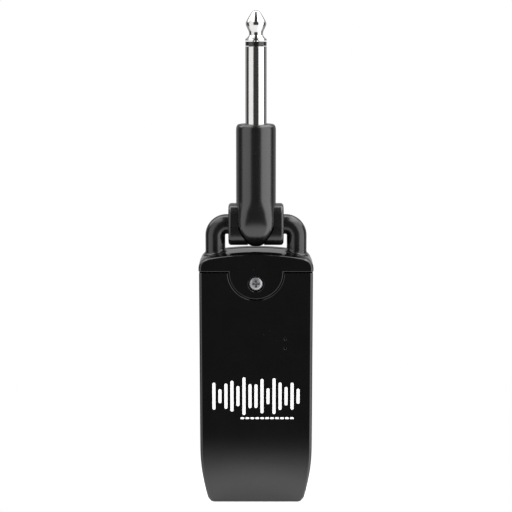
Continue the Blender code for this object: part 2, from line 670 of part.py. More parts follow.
def on_board(name, low, high, height, surface):
    """A component on the front of the board: its corners in x and z, and how far it stands out."""
    back = BOARD_FRONT - GAP
    return block(name, (low[0], back - height, low[1]), (high[0], back, high[1]), surface)


def make_components():
    """What the board carries."""
    on_board("radio_shield", (-6.5, 44.0), (6.0, 56.5), 2.0, CAN_STEEL)
    on_board("chip_antenna", (-4.0, 58.8), (4.0, 60.8), 1.2, CERAMIC)
    on_board("audio_chip", (-8.0, 30.0), (-2.5, 35.5), 0.9, CHIP_BLACK)
    on_board("control_chip", (1.5, 30.5), (6.5, 35.5), 0.9, CHIP_BLACK)
    on_board("charge_inductor", (-4.0, 20.0), (0.5, 24.5), 2.2, CHIP_BLACK)
    on_board("quartz_crystal", (2.5, 39.0), (5.7, 41.5), 0.8, CAN_STEEL)
    for level, height in LED_Z.items():
        on_board("status_led_" + level, (LED_X - 0.8, height - 0.5), (LED_X + 0.8, height + 0.5),
                 0.6, CERAMIC)
        pipe_front = FRONT_Y + WALL + GAP
        pipe_back = BOARD_FRONT - 2 * GAP - 0.6
        rod("light_pipe_" + level, 0.9, (LED_X, pipe_front, height), pipe_back, "Y", CLEAR_PIPE, 16)


def socket_section(name, grow, low_z, high_z, surface=None):
    """A block with the rounded section of the charging socket, between two heights."""
    half_x, half_y = SOCKET_HALF[0] + grow, SOCKET_HALF[1] + grow
    made = block(name, (-half_x, SOCKET_Y - half_y, low_z), (half_x, SOCKET_Y + half_y, high_z), surface)
    bm = bmesh.new()
    bm.from_mesh(made.data)
    upright = [edge for edge in bm.edges if abs(edge.verts[0].co.z - edge.verts[1].co.z) > 0.0001]
    bmesh.ops.bevel(bm, geom=upright, offset=(half_y - 0.05) * MM, segments=6, profile=0.5, affect="EDGES")
    bm.to_mesh(made.data)
    bm.free()
    return made


def make_socket():
    """The charging socket in the base: its drawn shell and the blade inside."""
    shell = socket_section("charge_socket", 0.0, 0.4, 7.8, CAN_STEEL)
    combine(shell, socket_section("socket_inside", -0.3, -1.0, 7.3))
    block("charge_socket_blade", (-3.3, SOCKET_Y - 0.35, 1.4), (3.3, SOCKET_Y + 0.35, 7.0), CHIP_BLACK)


def make_power():
    """The pouch cell behind the board, the foam under it and its two leads."""
    block("cell_pad", (-11.0, BOARD_REAR + GAP, 18.0), (11.0, BOARD_REAR + 0.9, 52.0), FOAM_GREY)
    cell = block("battery_cell", (-11.8, BOARD_REAR + 1.2, 16.5), (11.8, REAR_Y - WALL - GAP, 53.5),
                 CELL_FOIL)
    round_rim(cell, 0.8, 2)
    for x, name, surface in ((-3.0, "battery_lead_red", LEAD_RED), (0.0, "battery_lead_black", LEAD_BLACK)):
        route = [(x, 4.6, 53.9), (x, 4.5, 55.4), (x, 4.0, 56.8), (x, 3.4, 57.8), (x, 2.8, 58.2)]
        tube(name, route, 0.45, surface)


def main():
    """Build every piece."""
    pivot = bpy.data.objects.new("hinge_axis", None)
    PARTS.objects.link(pivot)
    pivot.location = (0, AXIS_Y * MM, AXIS_Z * MM)
    make_front_shell()
    make_rear_cover()
    make_top_cap()
    make_cap_screw()
    make_bracket()
    make_leads()
    make_barrel(pivot)
    make_knuckle_closures(pivot)
    make_bushes(pivot)
    make_plug(pivot)
    make_plug_leads(pivot)
    make_button(-1, "left")
    make_button(1, "right")
    make_board()
    make_components()
    make_socket()
    make_power()


main()
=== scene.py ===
"""The looks of a pocket wireless guitar transmitter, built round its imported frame."""

from __future__ import annotations

import logging
import math
from collections.abc import Callable, Iterable, Sequence
from dataclasses import dataclass, field
from enum import Enum
from typing import Any

import bmesh
import bpy
from bmesh.types import BMEdge, BMesh, BMFace, BMVert
from mathutils import Matrix, Vector


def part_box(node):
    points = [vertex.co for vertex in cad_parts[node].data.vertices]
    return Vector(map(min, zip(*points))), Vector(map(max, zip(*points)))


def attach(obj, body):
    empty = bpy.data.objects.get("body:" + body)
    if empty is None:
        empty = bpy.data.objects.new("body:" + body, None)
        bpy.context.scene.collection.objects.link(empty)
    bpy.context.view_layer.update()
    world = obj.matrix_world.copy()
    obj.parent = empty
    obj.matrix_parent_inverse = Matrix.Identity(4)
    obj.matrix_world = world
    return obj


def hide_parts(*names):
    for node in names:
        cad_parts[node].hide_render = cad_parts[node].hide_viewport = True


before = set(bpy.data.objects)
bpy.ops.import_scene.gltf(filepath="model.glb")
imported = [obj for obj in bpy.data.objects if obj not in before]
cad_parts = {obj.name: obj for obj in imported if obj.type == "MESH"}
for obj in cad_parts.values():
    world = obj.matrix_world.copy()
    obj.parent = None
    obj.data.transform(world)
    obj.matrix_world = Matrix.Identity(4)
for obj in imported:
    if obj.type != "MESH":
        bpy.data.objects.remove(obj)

log = logging.getLogger("transmitter")

MM = 0.001
Point = tuple[float, float, float]
Profile = Sequence[tuple[float, float]]
ROUND_END = 0.96
WHITE = (1.0, 1.0, 1.0, 1.0)
DEGREES = 180.0 / math.pi


# ---------------------------------------------------------------- shader wiring

class Signal:
    """A node's output that adds Math nodes when it stands in an expression."""

    def __init__(self, graph: Graph, socket: bpy.types.NodeSocket) -> None:
        """Keep the socket and the graph that it belongs to."""
        self.graph = graph
        self.socket = socket

    def math(self, operation: str, *others: Signal | float, swap: bool = False) -> Signal:
        """Add one Math node.

        Args:
            operation: the Math node's operation.
            others: the other operands.
            swap: put this signal after the first operand.

        Returns:
            The node's result.
        """
        operands: list[Signal | float] = [self, *others]
        if swap:
            operands[0], operands[1] = operands[1], operands[0]
        return self.graph.node("Math", {"operation": operation}, dict(enumerate(operands)))

    def __neg__(self) -> Signal:
        """The negative."""
        return self * -1.0

    def __abs__(self) -> Signal:
        """The size without its sign."""
        return self.math("ABSOLUTE")

    def sin(self) -> Signal:
        """The sine."""
        return self.math("SINE")

    def rounded(self) -> Signal:
        """The nearest whole number."""
        return self.math("ROUND")

    def at_least(self, floor: Signal | float) -> Signal:
        """The larger of the two."""
        return self.math("MAXIMUM", floor)

    def at_most(self, roof: Signal | float) -> Signal:
        """The smaller of the two."""
        return self.math("MINIMUM", roof)

    def rise(self, start: float, end: float) -> Signal:
        """A soft step.

        Args:
            start: where it leaves 0.
            end: where it reaches 1; below start, the step falls.

        Returns:
            The step, from 0 to 1.
        """
        if end < start:
            return 1.0 - self.rise(end, start)
        return self.graph.node("MapRange", {"interpolation_type": "SMOOTHSTEP"},
                               {"Value": self, "From Min": start, "From Max": end})


def _operator(operation: str, swap: bool) -> Callable[[Signal, Signal | float], Signal]:
    """The method behind one sign between two signals."""
    return lambda signal, other: signal.math(operation, other, swap=swap)


for _sign, _operation in (("add", "ADD"), ("sub", "SUBTRACT"), ("mul", "MULTIPLY"),
                          ("truediv", "DIVIDE"), ("pow", "POWER")):
    setattr(Signal, f"__{_sign}__", _operator(_operation, swap=False))
    setattr(Signal, f"__r{_sign}__", _operator(_operation, swap=True))


class Graph:
    """The nodes of one material or of the world."""

    def __init__(self, tree: bpy.types.NodeTree) -> None:
        """Start with an empty tree."""
        self.tree = tree
        tree.nodes.clear()

    def node(self, kind: str, settings: dict[str, Any] | None = None,
             inputs: dict[str | int, Any] | None = None, output: str | int = 0) -> Signal:
        """Add a node, set it and connect it.

        Args:
            kind: the node's type, without its ShaderNode prefix.
            settings: the node's own settings.
            inputs: values or signals for its sockets.
            output: the socket to return.

        Returns:
            The chosen output.
        """
        made = self.tree.nodes.new(f"ShaderNode{kind}")
        for key, value in (settings or {}).items():
            setattr(made, key, value)
        for key, value in (inputs or {}).items():
            if isinstance(value, Signal):
                self.tree.links.new(value.socket, made.inputs[key])
            else:
                made.inputs[key].default_value = value
        chosen = made.outputs[output] if len(made.outputs) else None
        return Signal(self, chosen)

    def place(self, stretch: Point = (1.0, 1.0, 1.0)) -> Signal:
        """Object coordinates, in metres, stretched along the axes."""
        coordinate = self.node("TexCoord", output="Object")
        return self.node("Mapping", {"vector_type": "POINT"},
                         {"Vector": coordinate, "Scale": stretch})

    def axes(self, vector: Signal) -> tuple[Signal, Signal, Signal]:
        """The three components of a vector."""
        split = self.node("SeparateXYZ", inputs={0: vector}).socket.node
        return tuple(Signal(self, split.outputs[axis]) for axis in range(3))

    def noise(self, place: Signal, scale: float, detail: float = 2.0,
              roughness: float = 0.5) -> Signal:
        """Cloudy noise from 0 to 1, its scale in patches to the metre."""
        return self.node("TexNoise", {"noise_dimensions": "3D"},
                         {"Vector": place, "Scale": scale, "Detail": detail, "Roughness": roughness})

    def mix(self, factor: Signal | float, first: Any, second: Any) -> Signal:
        """A colour between two, each a colour or a signal; a factor of 0 gives the first."""
        made = self.node("Mix", {"data_type": "RGBA"}, {0: factor}, output=2)
        node = made.socket.node
        for index, colour in ((6, first), (7, second)):
            if isinstance(colour, Signal):
                self.tree.links.new(colour.socket, node.inputs[index])
            else:
                node.inputs[index].default_value = (*colour, 1.0)
        return made


# ---------------------------------------------------------------- finishes

class Grain(Enum):
    """What the surface's finest relief follows."""

    MOULDED = "moulded"
    TURNED = "turned"
    ROLLED = "rolled"


@dataclass(frozen=True)
class Finish:
    """A surface finish; the lengths are in metres and the scales are patches to the metre."""

    name: str
    slot: str
    colour: tuple[float, float, float]
    roughness: float = 0.4
    metallic: float = 0.0
    ior: float = 1.5
    transmission: float = 0.0
    tint: float = 0.12
    drift: float = 140.0
    haze: float = 0.05
    grain: Grain = Grain.MOULDED
    grain_scale: float = 2600.0
    relief: float = 0.000004
    scuffs: float = 0.0
    specks: float = 0.0

    def material(self) -> bpy.types.Material:
        """The finish as a material, made once."""
        ready = bpy.data.materials.get(self.name)
        if ready:
            return ready
        made = bpy.data.materials.new(self.name)
        made.use_nodes = True
        graph = Graph(made.node_tree)
        place = graph.place()
        colour, roughness = self.surface(graph, place)
        shader = graph.node("BsdfPrincipled", inputs={
            "Base Color": colour, "Roughness": roughness, "Metallic": self.metallic,
            "IOR": self.ior, "Transmission Weight": self.transmission,
            "Normal": self.skin(graph, place)})
        self.extras(graph, place, shader)
        graph.node("OutputMaterial", inputs={"Surface": shader})
        made.diffuse_color = (*self.colour, 1.0)
        return made

    def surface(self, graph: Graph, place: Signal) -> tuple[Signal, Signal]:
        """Colour and roughness over the surface."""
        cloud = graph.noise(place, self.drift, 4.0, 0.6)
        dark = tuple(value * (1.0 - self.tint) for value in self.colour)
        light = tuple(min(value * (1.0 + self.tint), 1.0) for value in self.colour)
        colour = graph.mix(cloud.rise(0.3, 0.7), dark, light)
        roughness = self.roughness + (graph.noise(place, self.drift * 3.1, 3.0) - 0.5) * self.haze
        if self.scuffs:
            hair = graph.noise(graph.place((1.0, 1.0, 0.06)), 2400.0, 2.0, 0.7).rise(0.64, 0.74)
            cross = graph.noise(graph.place((0.08, 0.3, 1.0)), 1900.0, 2.0, 0.7).rise(0.66, 0.76)
            roughness = roughness + (hair + cross).at_most(1.0) * self.scuffs
        if self.specks:
            dust = graph.node("TexVoronoi", {"feature": "F1"}, {"Vector": place, "Scale": 420.0})
            spot = dust.rise(0.075, 0.03) * graph.noise(place, 90.0).rise(0.5, 0.7)
            pale = tuple(min(value + self.specks, 1.0) for value in self.colour)
            colour = graph.mix(spot * 0.5, colour, pale)
            roughness = roughness + spot * 0.25
        return colour, roughness.at_least(0.02)

    def skin(self, graph: Graph, place: Signal) -> Signal:
        """The normal with the finest relief of the finish in it."""
        if self.grain is Grain.TURNED:
            height = graph.noise(graph.place((0.03, 0.03, 1.0)), self.grain_scale * 3.0, 3.0, 0.7)
        elif self.grain is Grain.ROLLED:
            height = graph.noise(graph.place((1.0, 0.2, 0.05)), self.grain_scale, 3.0, 0.7)
        else:
            waves = graph.noise(place, 95.0, 1.0)
            height = graph.noise(place, self.grain_scale, 4.0, 0.6) + waves * 1.5
        return graph.node("Bump", inputs={
            "Strength": 1.0, "Distance": self.relief, "Height": height})

    def extras(self, graph: Graph, place: Signal, shader: Signal) -> None:
        """Nothing more for a plain finish."""


@dataclass(frozen=True)
class PrintedShell(Finish):
    """Gloss plastic with a printed row of level bars across its lower front."""

    ink: tuple[float, float, float] = (0.86, 0.86, 0.85)
    # painted light: how strongly the printed ink glows on its own
    glow: float = 0.25
    middle: float = 0.0345
    pitch: float = 0.00182
    bar: float = 0.00046
    reach: float = 0.0134
    dash_pitch: float = 0.0015
    dash_start: float = 0.00338
    dash_height: float = 0.0276
    dash_half: float = 0.0003
    last_dash: float = 5.5

    def _mark(self, graph: Graph, place: Signal) -> Signal:
        """Where the ink of the bars and of the dashes beneath them is, from 0 to 1."""
        x, y, z = graph.axes(place)
        step = (x / self.pitch).rounded()
        swing = abs((step * 1.21 + 0.7).sin()) * 0.0036 + abs((step * 2.57).sin()) * 0.0012
        swing = swing + 0.0009
        high = swing * (1.0 - (step * step) * 0.0062)
        beside = x - step * self.pitch
        above = (abs(z - self.middle) - high).at_least(0.0)
        bars = (beside * beside + above * above).math("SQRT")
        bars = bars.rise(self.bar + 0.00004, self.bar - 0.00004)
        bars = bars * abs(x).rise(self.reach + 0.00002, self.reach)
        shift = x - self.dash_start
        dash = (shift / self.dash_pitch).rounded()
        along = (abs(shift - dash * self.dash_pitch) - self.dash_half).at_least(0.0)
        over = z - self.dash_height
        dashes = (along * along + over * over).math("SQRT").rise(0.00032, 0.00026)
        dashes = dashes * abs(dash).rise(self.last_dash + 0.1, self.last_dash - 0.1)
        worn = graph.noise(place, 5200.0, 3.0, 0.7).rise(0.24, 0.32)
        return (bars + dashes).at_most(1.0) * y.rise(-0.0074, -0.0078) * worn

    def surface(self, graph: Graph, place: Signal) -> tuple[Signal, Signal]:
        """Colour and roughness, with the ink on top."""
        colour, roughness = super().surface(graph, place)
        mark = self._mark(graph, place)
        return graph.mix(mark, colour, self.ink), roughness + mark * 0.3

    def extras(self, graph: Graph, place: Signal, shader: Signal) -> None:
        """Painted light: the ink glows, a little brighter than the light alone makes it."""
        node = shader.socket.node
        lit = graph.mix(self._mark(graph, place), (0.0, 0.0, 0.0), self.ink)
        graph.tree.links.new(lit.socket, node.inputs["Emission Color"])
        node.inputs["Emission Strength"].default_value = self.glow


BLACK = (0.003, 0.003, 0.0032)
WORN_BLACK = (0.005, 0.005, 0.0052)
GLOSS = Finish("gloss_black_plastic", "gloss_black", BLACK, 0.09, ior=1.52, haze=0.03,
               relief=0.0000015, scuffs=0.05, specks=0.05)
PRINTED = PrintedShell("printed_gloss_black_plastic", "gloss_black", BLACK, 0.09, ior=1.52,
                       haze=0.03, relief=0.0000015, scuffs=0.05, specks=0.05)
BARREL_GLOSS = Finish("barrel_black_plastic", "gloss_black", WORN_BLACK, 0.24, ior=1.6, haze=0.05,
                      relief=0.000003, scuffs=0.07, specks=0.06)
BRACKET_GLOSS = Finish("bracket_black_plastic", "gloss_black", WORN_BLACK, 0.24, ior=1.5,
                       haze=0.06, relief=0.000003, scuffs=0.06, specks=0.05)
SATIN = Finish("satin_black_plastic", "satin_black", (0.0045, 0.0045, 0.0047), 0.22, ior=1.55,
               haze=0.06, relief=0.000003, specks=0.05)
NICKEL = Finish("bright_nickel", "plug_metal", (0.53, 0.525, 0.515), 0.11, metallic=1.0,
                tint=0.03, haze=0.03, grain=Grain.TURNED, relief=0.0000012, scuffs=0.08)
RING = Finish("ring_black_plastic", "ring_black", (0.006, 0.006, 0.006), 0.22, ior=1.55,
              relief=0.000003)
STEEL = Finish("screw_steel", "screw_steel", (0.04, 0.04, 0.041), 0.34, metallic=1.0, tint=0.15,
               haze=0.15, relief=0.000006, scuffs=0.15)
NYLON = Finish("natural_nylon", "natural_nylon", (0.78, 0.74, 0.62), 0.42, ior=1.53,
               relief=0.000006)
MASK_GREEN = Finish("solder_mask_green", "board_green", (0.012, 0.09, 0.035), 0.28, ior=1.52,
                    tint=0.2, drift=400.0, relief=0.000008)
CHIP = Finish("chip_epoxy", "chip_black", (0.018, 0.018, 0.02), 0.55, relief=0.000008,
              grain_scale=9000.0)
CAN = Finish("tinned_can", "can_steel", (0.6, 0.6, 0.58), 0.28, metallic=1.0, tint=0.06,
             grain=Grain.ROLLED, relief=0.000004, haze=0.12)
FOIL = Finish("cell_foil", "cell_foil", (0.56, 0.57, 0.59), 0.34, metallic=0.9, tint=0.08,
              relief=0.00002, grain_scale=500.0, haze=0.12)
FOAM = Finish("pad_foam", "foam_grey", (0.09, 0.09, 0.095), 0.95, relief=0.00006,
              grain_scale=3000.0, tint=0.35, drift=2500.0)
CLEAR = Finish("light_pipe_clear", "clear_pipe", (0.92, 0.95, 0.92), 0.08, ior=1.49,
               transmission=0.9, tint=0.03, relief=0.000002)
JACKET_RED = Finish("lead_jacket_red", "lead_red", (0.42, 0.02, 0.015), 0.4, relief=0.000006)
JACKET_BLACK = Finish("lead_jacket_black", "lead_black", (0.014, 0.014, 0.015), 0.4,
                      relief=0.000006)
FIRED = Finish("fired_ceramic", "ceramic", (0.62, 0.56, 0.46), 0.5, tint=0.1, relief=0.000006)

INNER_FINISHES: dict[Finish, tuple[str, ...]] = {
    STEEL: ("board_screw_left_lower", "board_screw_left_upper", "board_screw_right_lower",
            "board_screw_right_upper", "bracket_clip_left", "bracket_clip_right", "tip_tag",
            "sleeve_tag"),
    NYLON: ("left_switch_plunger", "right_switch_plunger"),
    MASK_GREEN: ("circuit_board",),
    CHIP: ("left_switch_body", "right_switch_body", "audio_chip", "control_chip", "charge_inductor",
           "charge_socket_blade"),
    CAN: ("radio_shield", "quartz_crystal", "charge_socket"),
    FOIL: ("battery_cell",),
    FOAM: ("cell_pad",),
    CLEAR: ("light_pipe_upper", "light_pipe_lower", "status_led_upper", "status_led_lower"),
    JACKET_RED: ("tip_lead", "plug_tail_tip", "battery_lead_red"),
    JACKET_BLACK: ("sleeve_lead", "plug_tail_sleeve", "battery_lead_black"),
    FIRED: ("chip_antenna",),
}


# ---------------------------------------------------------------- the bench

class Body(Enum):
    """The moving bodies of the frame."""

    HOUSING = "housing"
    PLUG = "plug"
    BUTTON_LEFT = "button_left"
    BUTTON_RIGHT = "button_right"


class Axis(Enum):
    """The axis that a turned piece is spun about."""

    X = Matrix.Rotation(math.pi / 2, 3, "Y")
    Y = Matrix.Rotation(-math.pi / 2, 3, "X")
    Z = Matrix.Identity(3)


def only(kind: type, items: Iterable[Any]) -> list[Any]:
    """The items of one kind."""
    return [item for item in items if isinstance(item, kind)]


def to_scene(bm: BMesh, name: str) -> bpy.types.Object:
    """Put a bmesh into the scene as an object at the origin, and free it."""
    mesh = bpy.data.meshes.new(name)
    bm.to_mesh(mesh)
    bm.free()
    made = bpy.data.objects.new(name, mesh)
    bpy.context.scene.collection.objects.link(made)
    return made


class Bench:
    """A bmesh in millimetres that ends as one object of the scene."""

    def __init__(self) -> None:
        """Start with nothing on the bench."""
        self.bm: BMesh = bmesh.new()
        self.tip: BMVert | None = None

    def start(self, x: float, z: float, y: float = 0.0) -> None:
        """Put the pen down at a point."""
        self.tip = self.bm.verts.new((x, y, z))

    def line(self, x: float, z: float) -> None:
        """Draw a straight edge from the pen to a point at the same depth."""
        end = self.bm.verts.new((x, self.tip.co.y, z))
        self.bm.edges.new((self.tip, end))
        self.tip = end

    def turn(self, x: float, z: float, degrees: float, steps: int) -> None:
        """Draw an arc from the pen round a centre; positive degrees go against the clock."""
        spun = bmesh.ops.spin(self.bm, geom=[self.tip], cent=(x, self.tip.co.y, z), axis=(0, 1, 0),
                              dvec=(0, 0, 0), angle=math.radians(-degrees), steps=steps,
                              use_merge=False, use_duplicate=False)
        self.tip = only(BMVert, spun["geom_last"])[0]

    def close_face(self) -> BMFace:
        """Mirror the drawn half in x and return the flat face inside the line."""
        bm = self.bm
        bmesh.ops.mirror(bm, geom=[*bm.verts, *bm.edges], matrix=Matrix.Identity(4),
                         merge_dist=0.001, axis="X")
        bmesh.ops.remove_doubles(bm, verts=bm.verts[:], dist=0.001)
        return bmesh.ops.contextual_create(bm, geom=bm.edges[:])["faces"][0]

    def push(self, faces: Iterable[BMFace], offset: Point) -> list[BMFace]:
        """Extrude faces.

        Args:
            faces: the faces to extrude; a face that stands alone stays as the near end.
            offset: how far they go.

        Returns:
            The faces at the far end.
        """
        faces = list(faces)
        alone = all(len(edge.link_faces) == 1 for face in faces for edge in face.edges)
        grown = bmesh.ops.extrude_face_region(self.bm, geom=faces)["geom"]
        bmesh.ops.translate(self.bm, verts=only(BMVert, grown), vec=offset)
        if not alone:
            bmesh.ops.delete(self.bm, geom=faces, context="FACES")
        return only(BMFace, grown)

    def bevel(self, edges: Iterable[BMEdge], width: float, segments: int,
              clamp: bool = True) -> None:
        """Roll edges over.

        Args:
            edges: the edges to round.
            width: how far the rounding reaches from each.
            segments: how many faces it has.
            clamp: keep it from reaching past the next edge.
        """
        bmesh.ops.bevel(self.bm, geom=list(edges), offset=width, offset_type="OFFSET",
                        segments=segments, profile=0.5, affect="EDGES", clamp_overlap=clamp,
                        material=-1)

    def slice(self, place: Point, normal: Point) -> None:
        """Cut every face along a plane and keep both sides."""
        bm = self.bm
        bmesh.ops.bisect_plane(bm, geom=[*bm.verts, *bm.edges, *bm.faces], dist=0.0005,
                               plane_co=place, plane_no=normal)

    def spin(self, profile: Profile, steps: int = 72, closed: bool = False, axis: Axis = Axis.Z,
             centre: Point = (0.0, 0.0, 0.0)) -> Bench:
        """Turn a profile round an axis.

        Args:
            profile: (radius, height) pairs along the outline.
            steps: how many faces go round.
            closed: join the last point to the first.
            axis: the axis it is spun about.
            centre: the point on that axis where the height is nought.

        Returns:
            This bench.
        """
        work = bmesh.new()
        points = [work.verts.new((radius, 0.0, height)) for radius, height in profile]
        pairs = list(zip(points, points[1:])) + ([(points[-1], points[0])] if closed else [])
        for pair in pairs:
            work.edges.new(pair)
        bmesh.ops.spin(work, geom=[*work.verts, *work.edges], cent=(0, 0, 0), axis=(0, 0, 1),
                       dvec=(0, 0, 0), angle=math.tau, steps=steps, use_merge=True,
                       use_duplicate=False)
        bmesh.ops.remove_doubles(work, verts=work.verts[:], dist=0.0005)
        bmesh.ops.recalc_face_normals(work, faces=work.faces[:])
        bmesh.ops.transform(work, matrix=Matrix.Translation(centre) @ axis.value.to_4x4(),
                            verts=work.verts[:])
        self.add(work)
        return self

    def add(self, other: BMesh) -> None:
        """Take another bmesh onto the bench and free it."""
        carrier = bpy.data.meshes.new("carrier")
        other.to_mesh(carrier)
        other.free()
        self.bm.from_mesh(carrier)
        bpy.data.meshes.remove(carrier)

    def box(self, low: Point, high: Point) -> list[BMEdge]:
        """Add a block between its lowest and its highest corner and return its edges."""
        size = Vector(high) - Vector(low)
        middle = (Vector(high) + Vector(low)) / 2
        matrix = Matrix.Translation(middle) @ Matrix.Diagonal((*size, 1.0))
        made = bmesh.ops.create_cube(self.bm, size=1.0, matrix=matrix)["verts"]
        return list({edge for vert in made for edge in vert.link_edges})

    def bar(self, low: Point, high: Point, axis: int, radius: float, segments: int) -> None:
        """Add a block whose edges along one axis are rounded."""
        along = [edge for edge in self.box(low, high)
                 if abs(edge.verts[0].co[axis] - edge.verts[1].co[axis]) > 1.0]
        self.bevel(along, radius, segments)

    def solid(self, name: str) -> bpy.types.Object:
        """Put the work into the scene in metres, as an object at the origin."""
        bmesh.ops.recalc_face_normals(self.bm, faces=self.bm.faces[:])
        bmesh.ops.scale(self.bm, vec=(MM, MM, MM), verts=self.bm.verts[:])
        return to_scene(self.bm, name)


class Cut(Enum):
    """How one solid works on another."""

    AWAY = "DIFFERENCE"
    JOIN = "UNION"
    KEEP = "INTERSECT"


def carve(target: bpy.types.Object, cut: Cut, *tools: bpy.types.Object) -> bpy.types.Object:
    """Work on a solid with other solids, which are used up.

    Args:
        target: the solid that is changed.
        cut: what the tools do to it.
        tools: the solids that work on it.

    Returns:
        The target.
    """
    for tool in tools:
        step = target.modifiers.new("carve", "BOOLEAN")
        step.operation = cut.value
        step.solver = "EXACT"
        step.object = tool
    bpy.context.view_layer.update()
    seen = target.evaluated_get(bpy.context.evaluated_depsgraph_get())
    result = bpy.data.meshes.new_from_object(seen)
    target.modifiers.clear()
    old = target.data
    target.data = result
    result.name = target.name
    bpy.data.meshes.remove(old)
    for tool in tools:
        bpy.data.meshes.remove(tool.data)
    return target


def dress(piece: bpy.types.Object, finish: Finish, body: Body, *nodes: str, crease: float = 34.0,
          even: bool = True) -> bpy.types.Object:
    """Give a new piece its finish and its place in the frame.

    Args:
        piece: the new object.
        finish: its finish.
        body: the body that it moves with.
        nodes: the CAD nodes that it stands for.
        crease: the angle in degrees from which an edge stays crisp.
        even: weigh the normals by the size of the faces.

    Returns:
        The piece.
    """
    mesh = piece.data
    mesh.materials.clear()
    mesh.materials.append(finish.material())
    mesh.polygons.foreach_set("material_index", [0] * len(mesh.polygons))
    work = bmesh.new()
    work.from_mesh(mesh)
    bmesh.ops.remove_doubles(work, verts=work.verts[:], dist=0.0000005)
    for face in work.faces:
        face.smooth = True
    for edge in work.edges:
        edge.smooth = len(edge.link_faces) == 2 and edge.calc_face_angle(0.0) < math.radians(crease)
    work.to_mesh(mesh)
    work.free()
    if even:
        weigh = piece.modifiers.new("even_normals", "WEIGHTED_NORMAL")
        weigh.keep_sharp = True
        weigh.mode = "FACE_AREA"
    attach(piece, body.value)
    if nodes:
        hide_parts(*nodes)
    log.info("%s: %d faces, rides on %s", piece.name, len(mesh.polygons), body.value)
    return piece


# ---------------------------------------------------------------- the housing

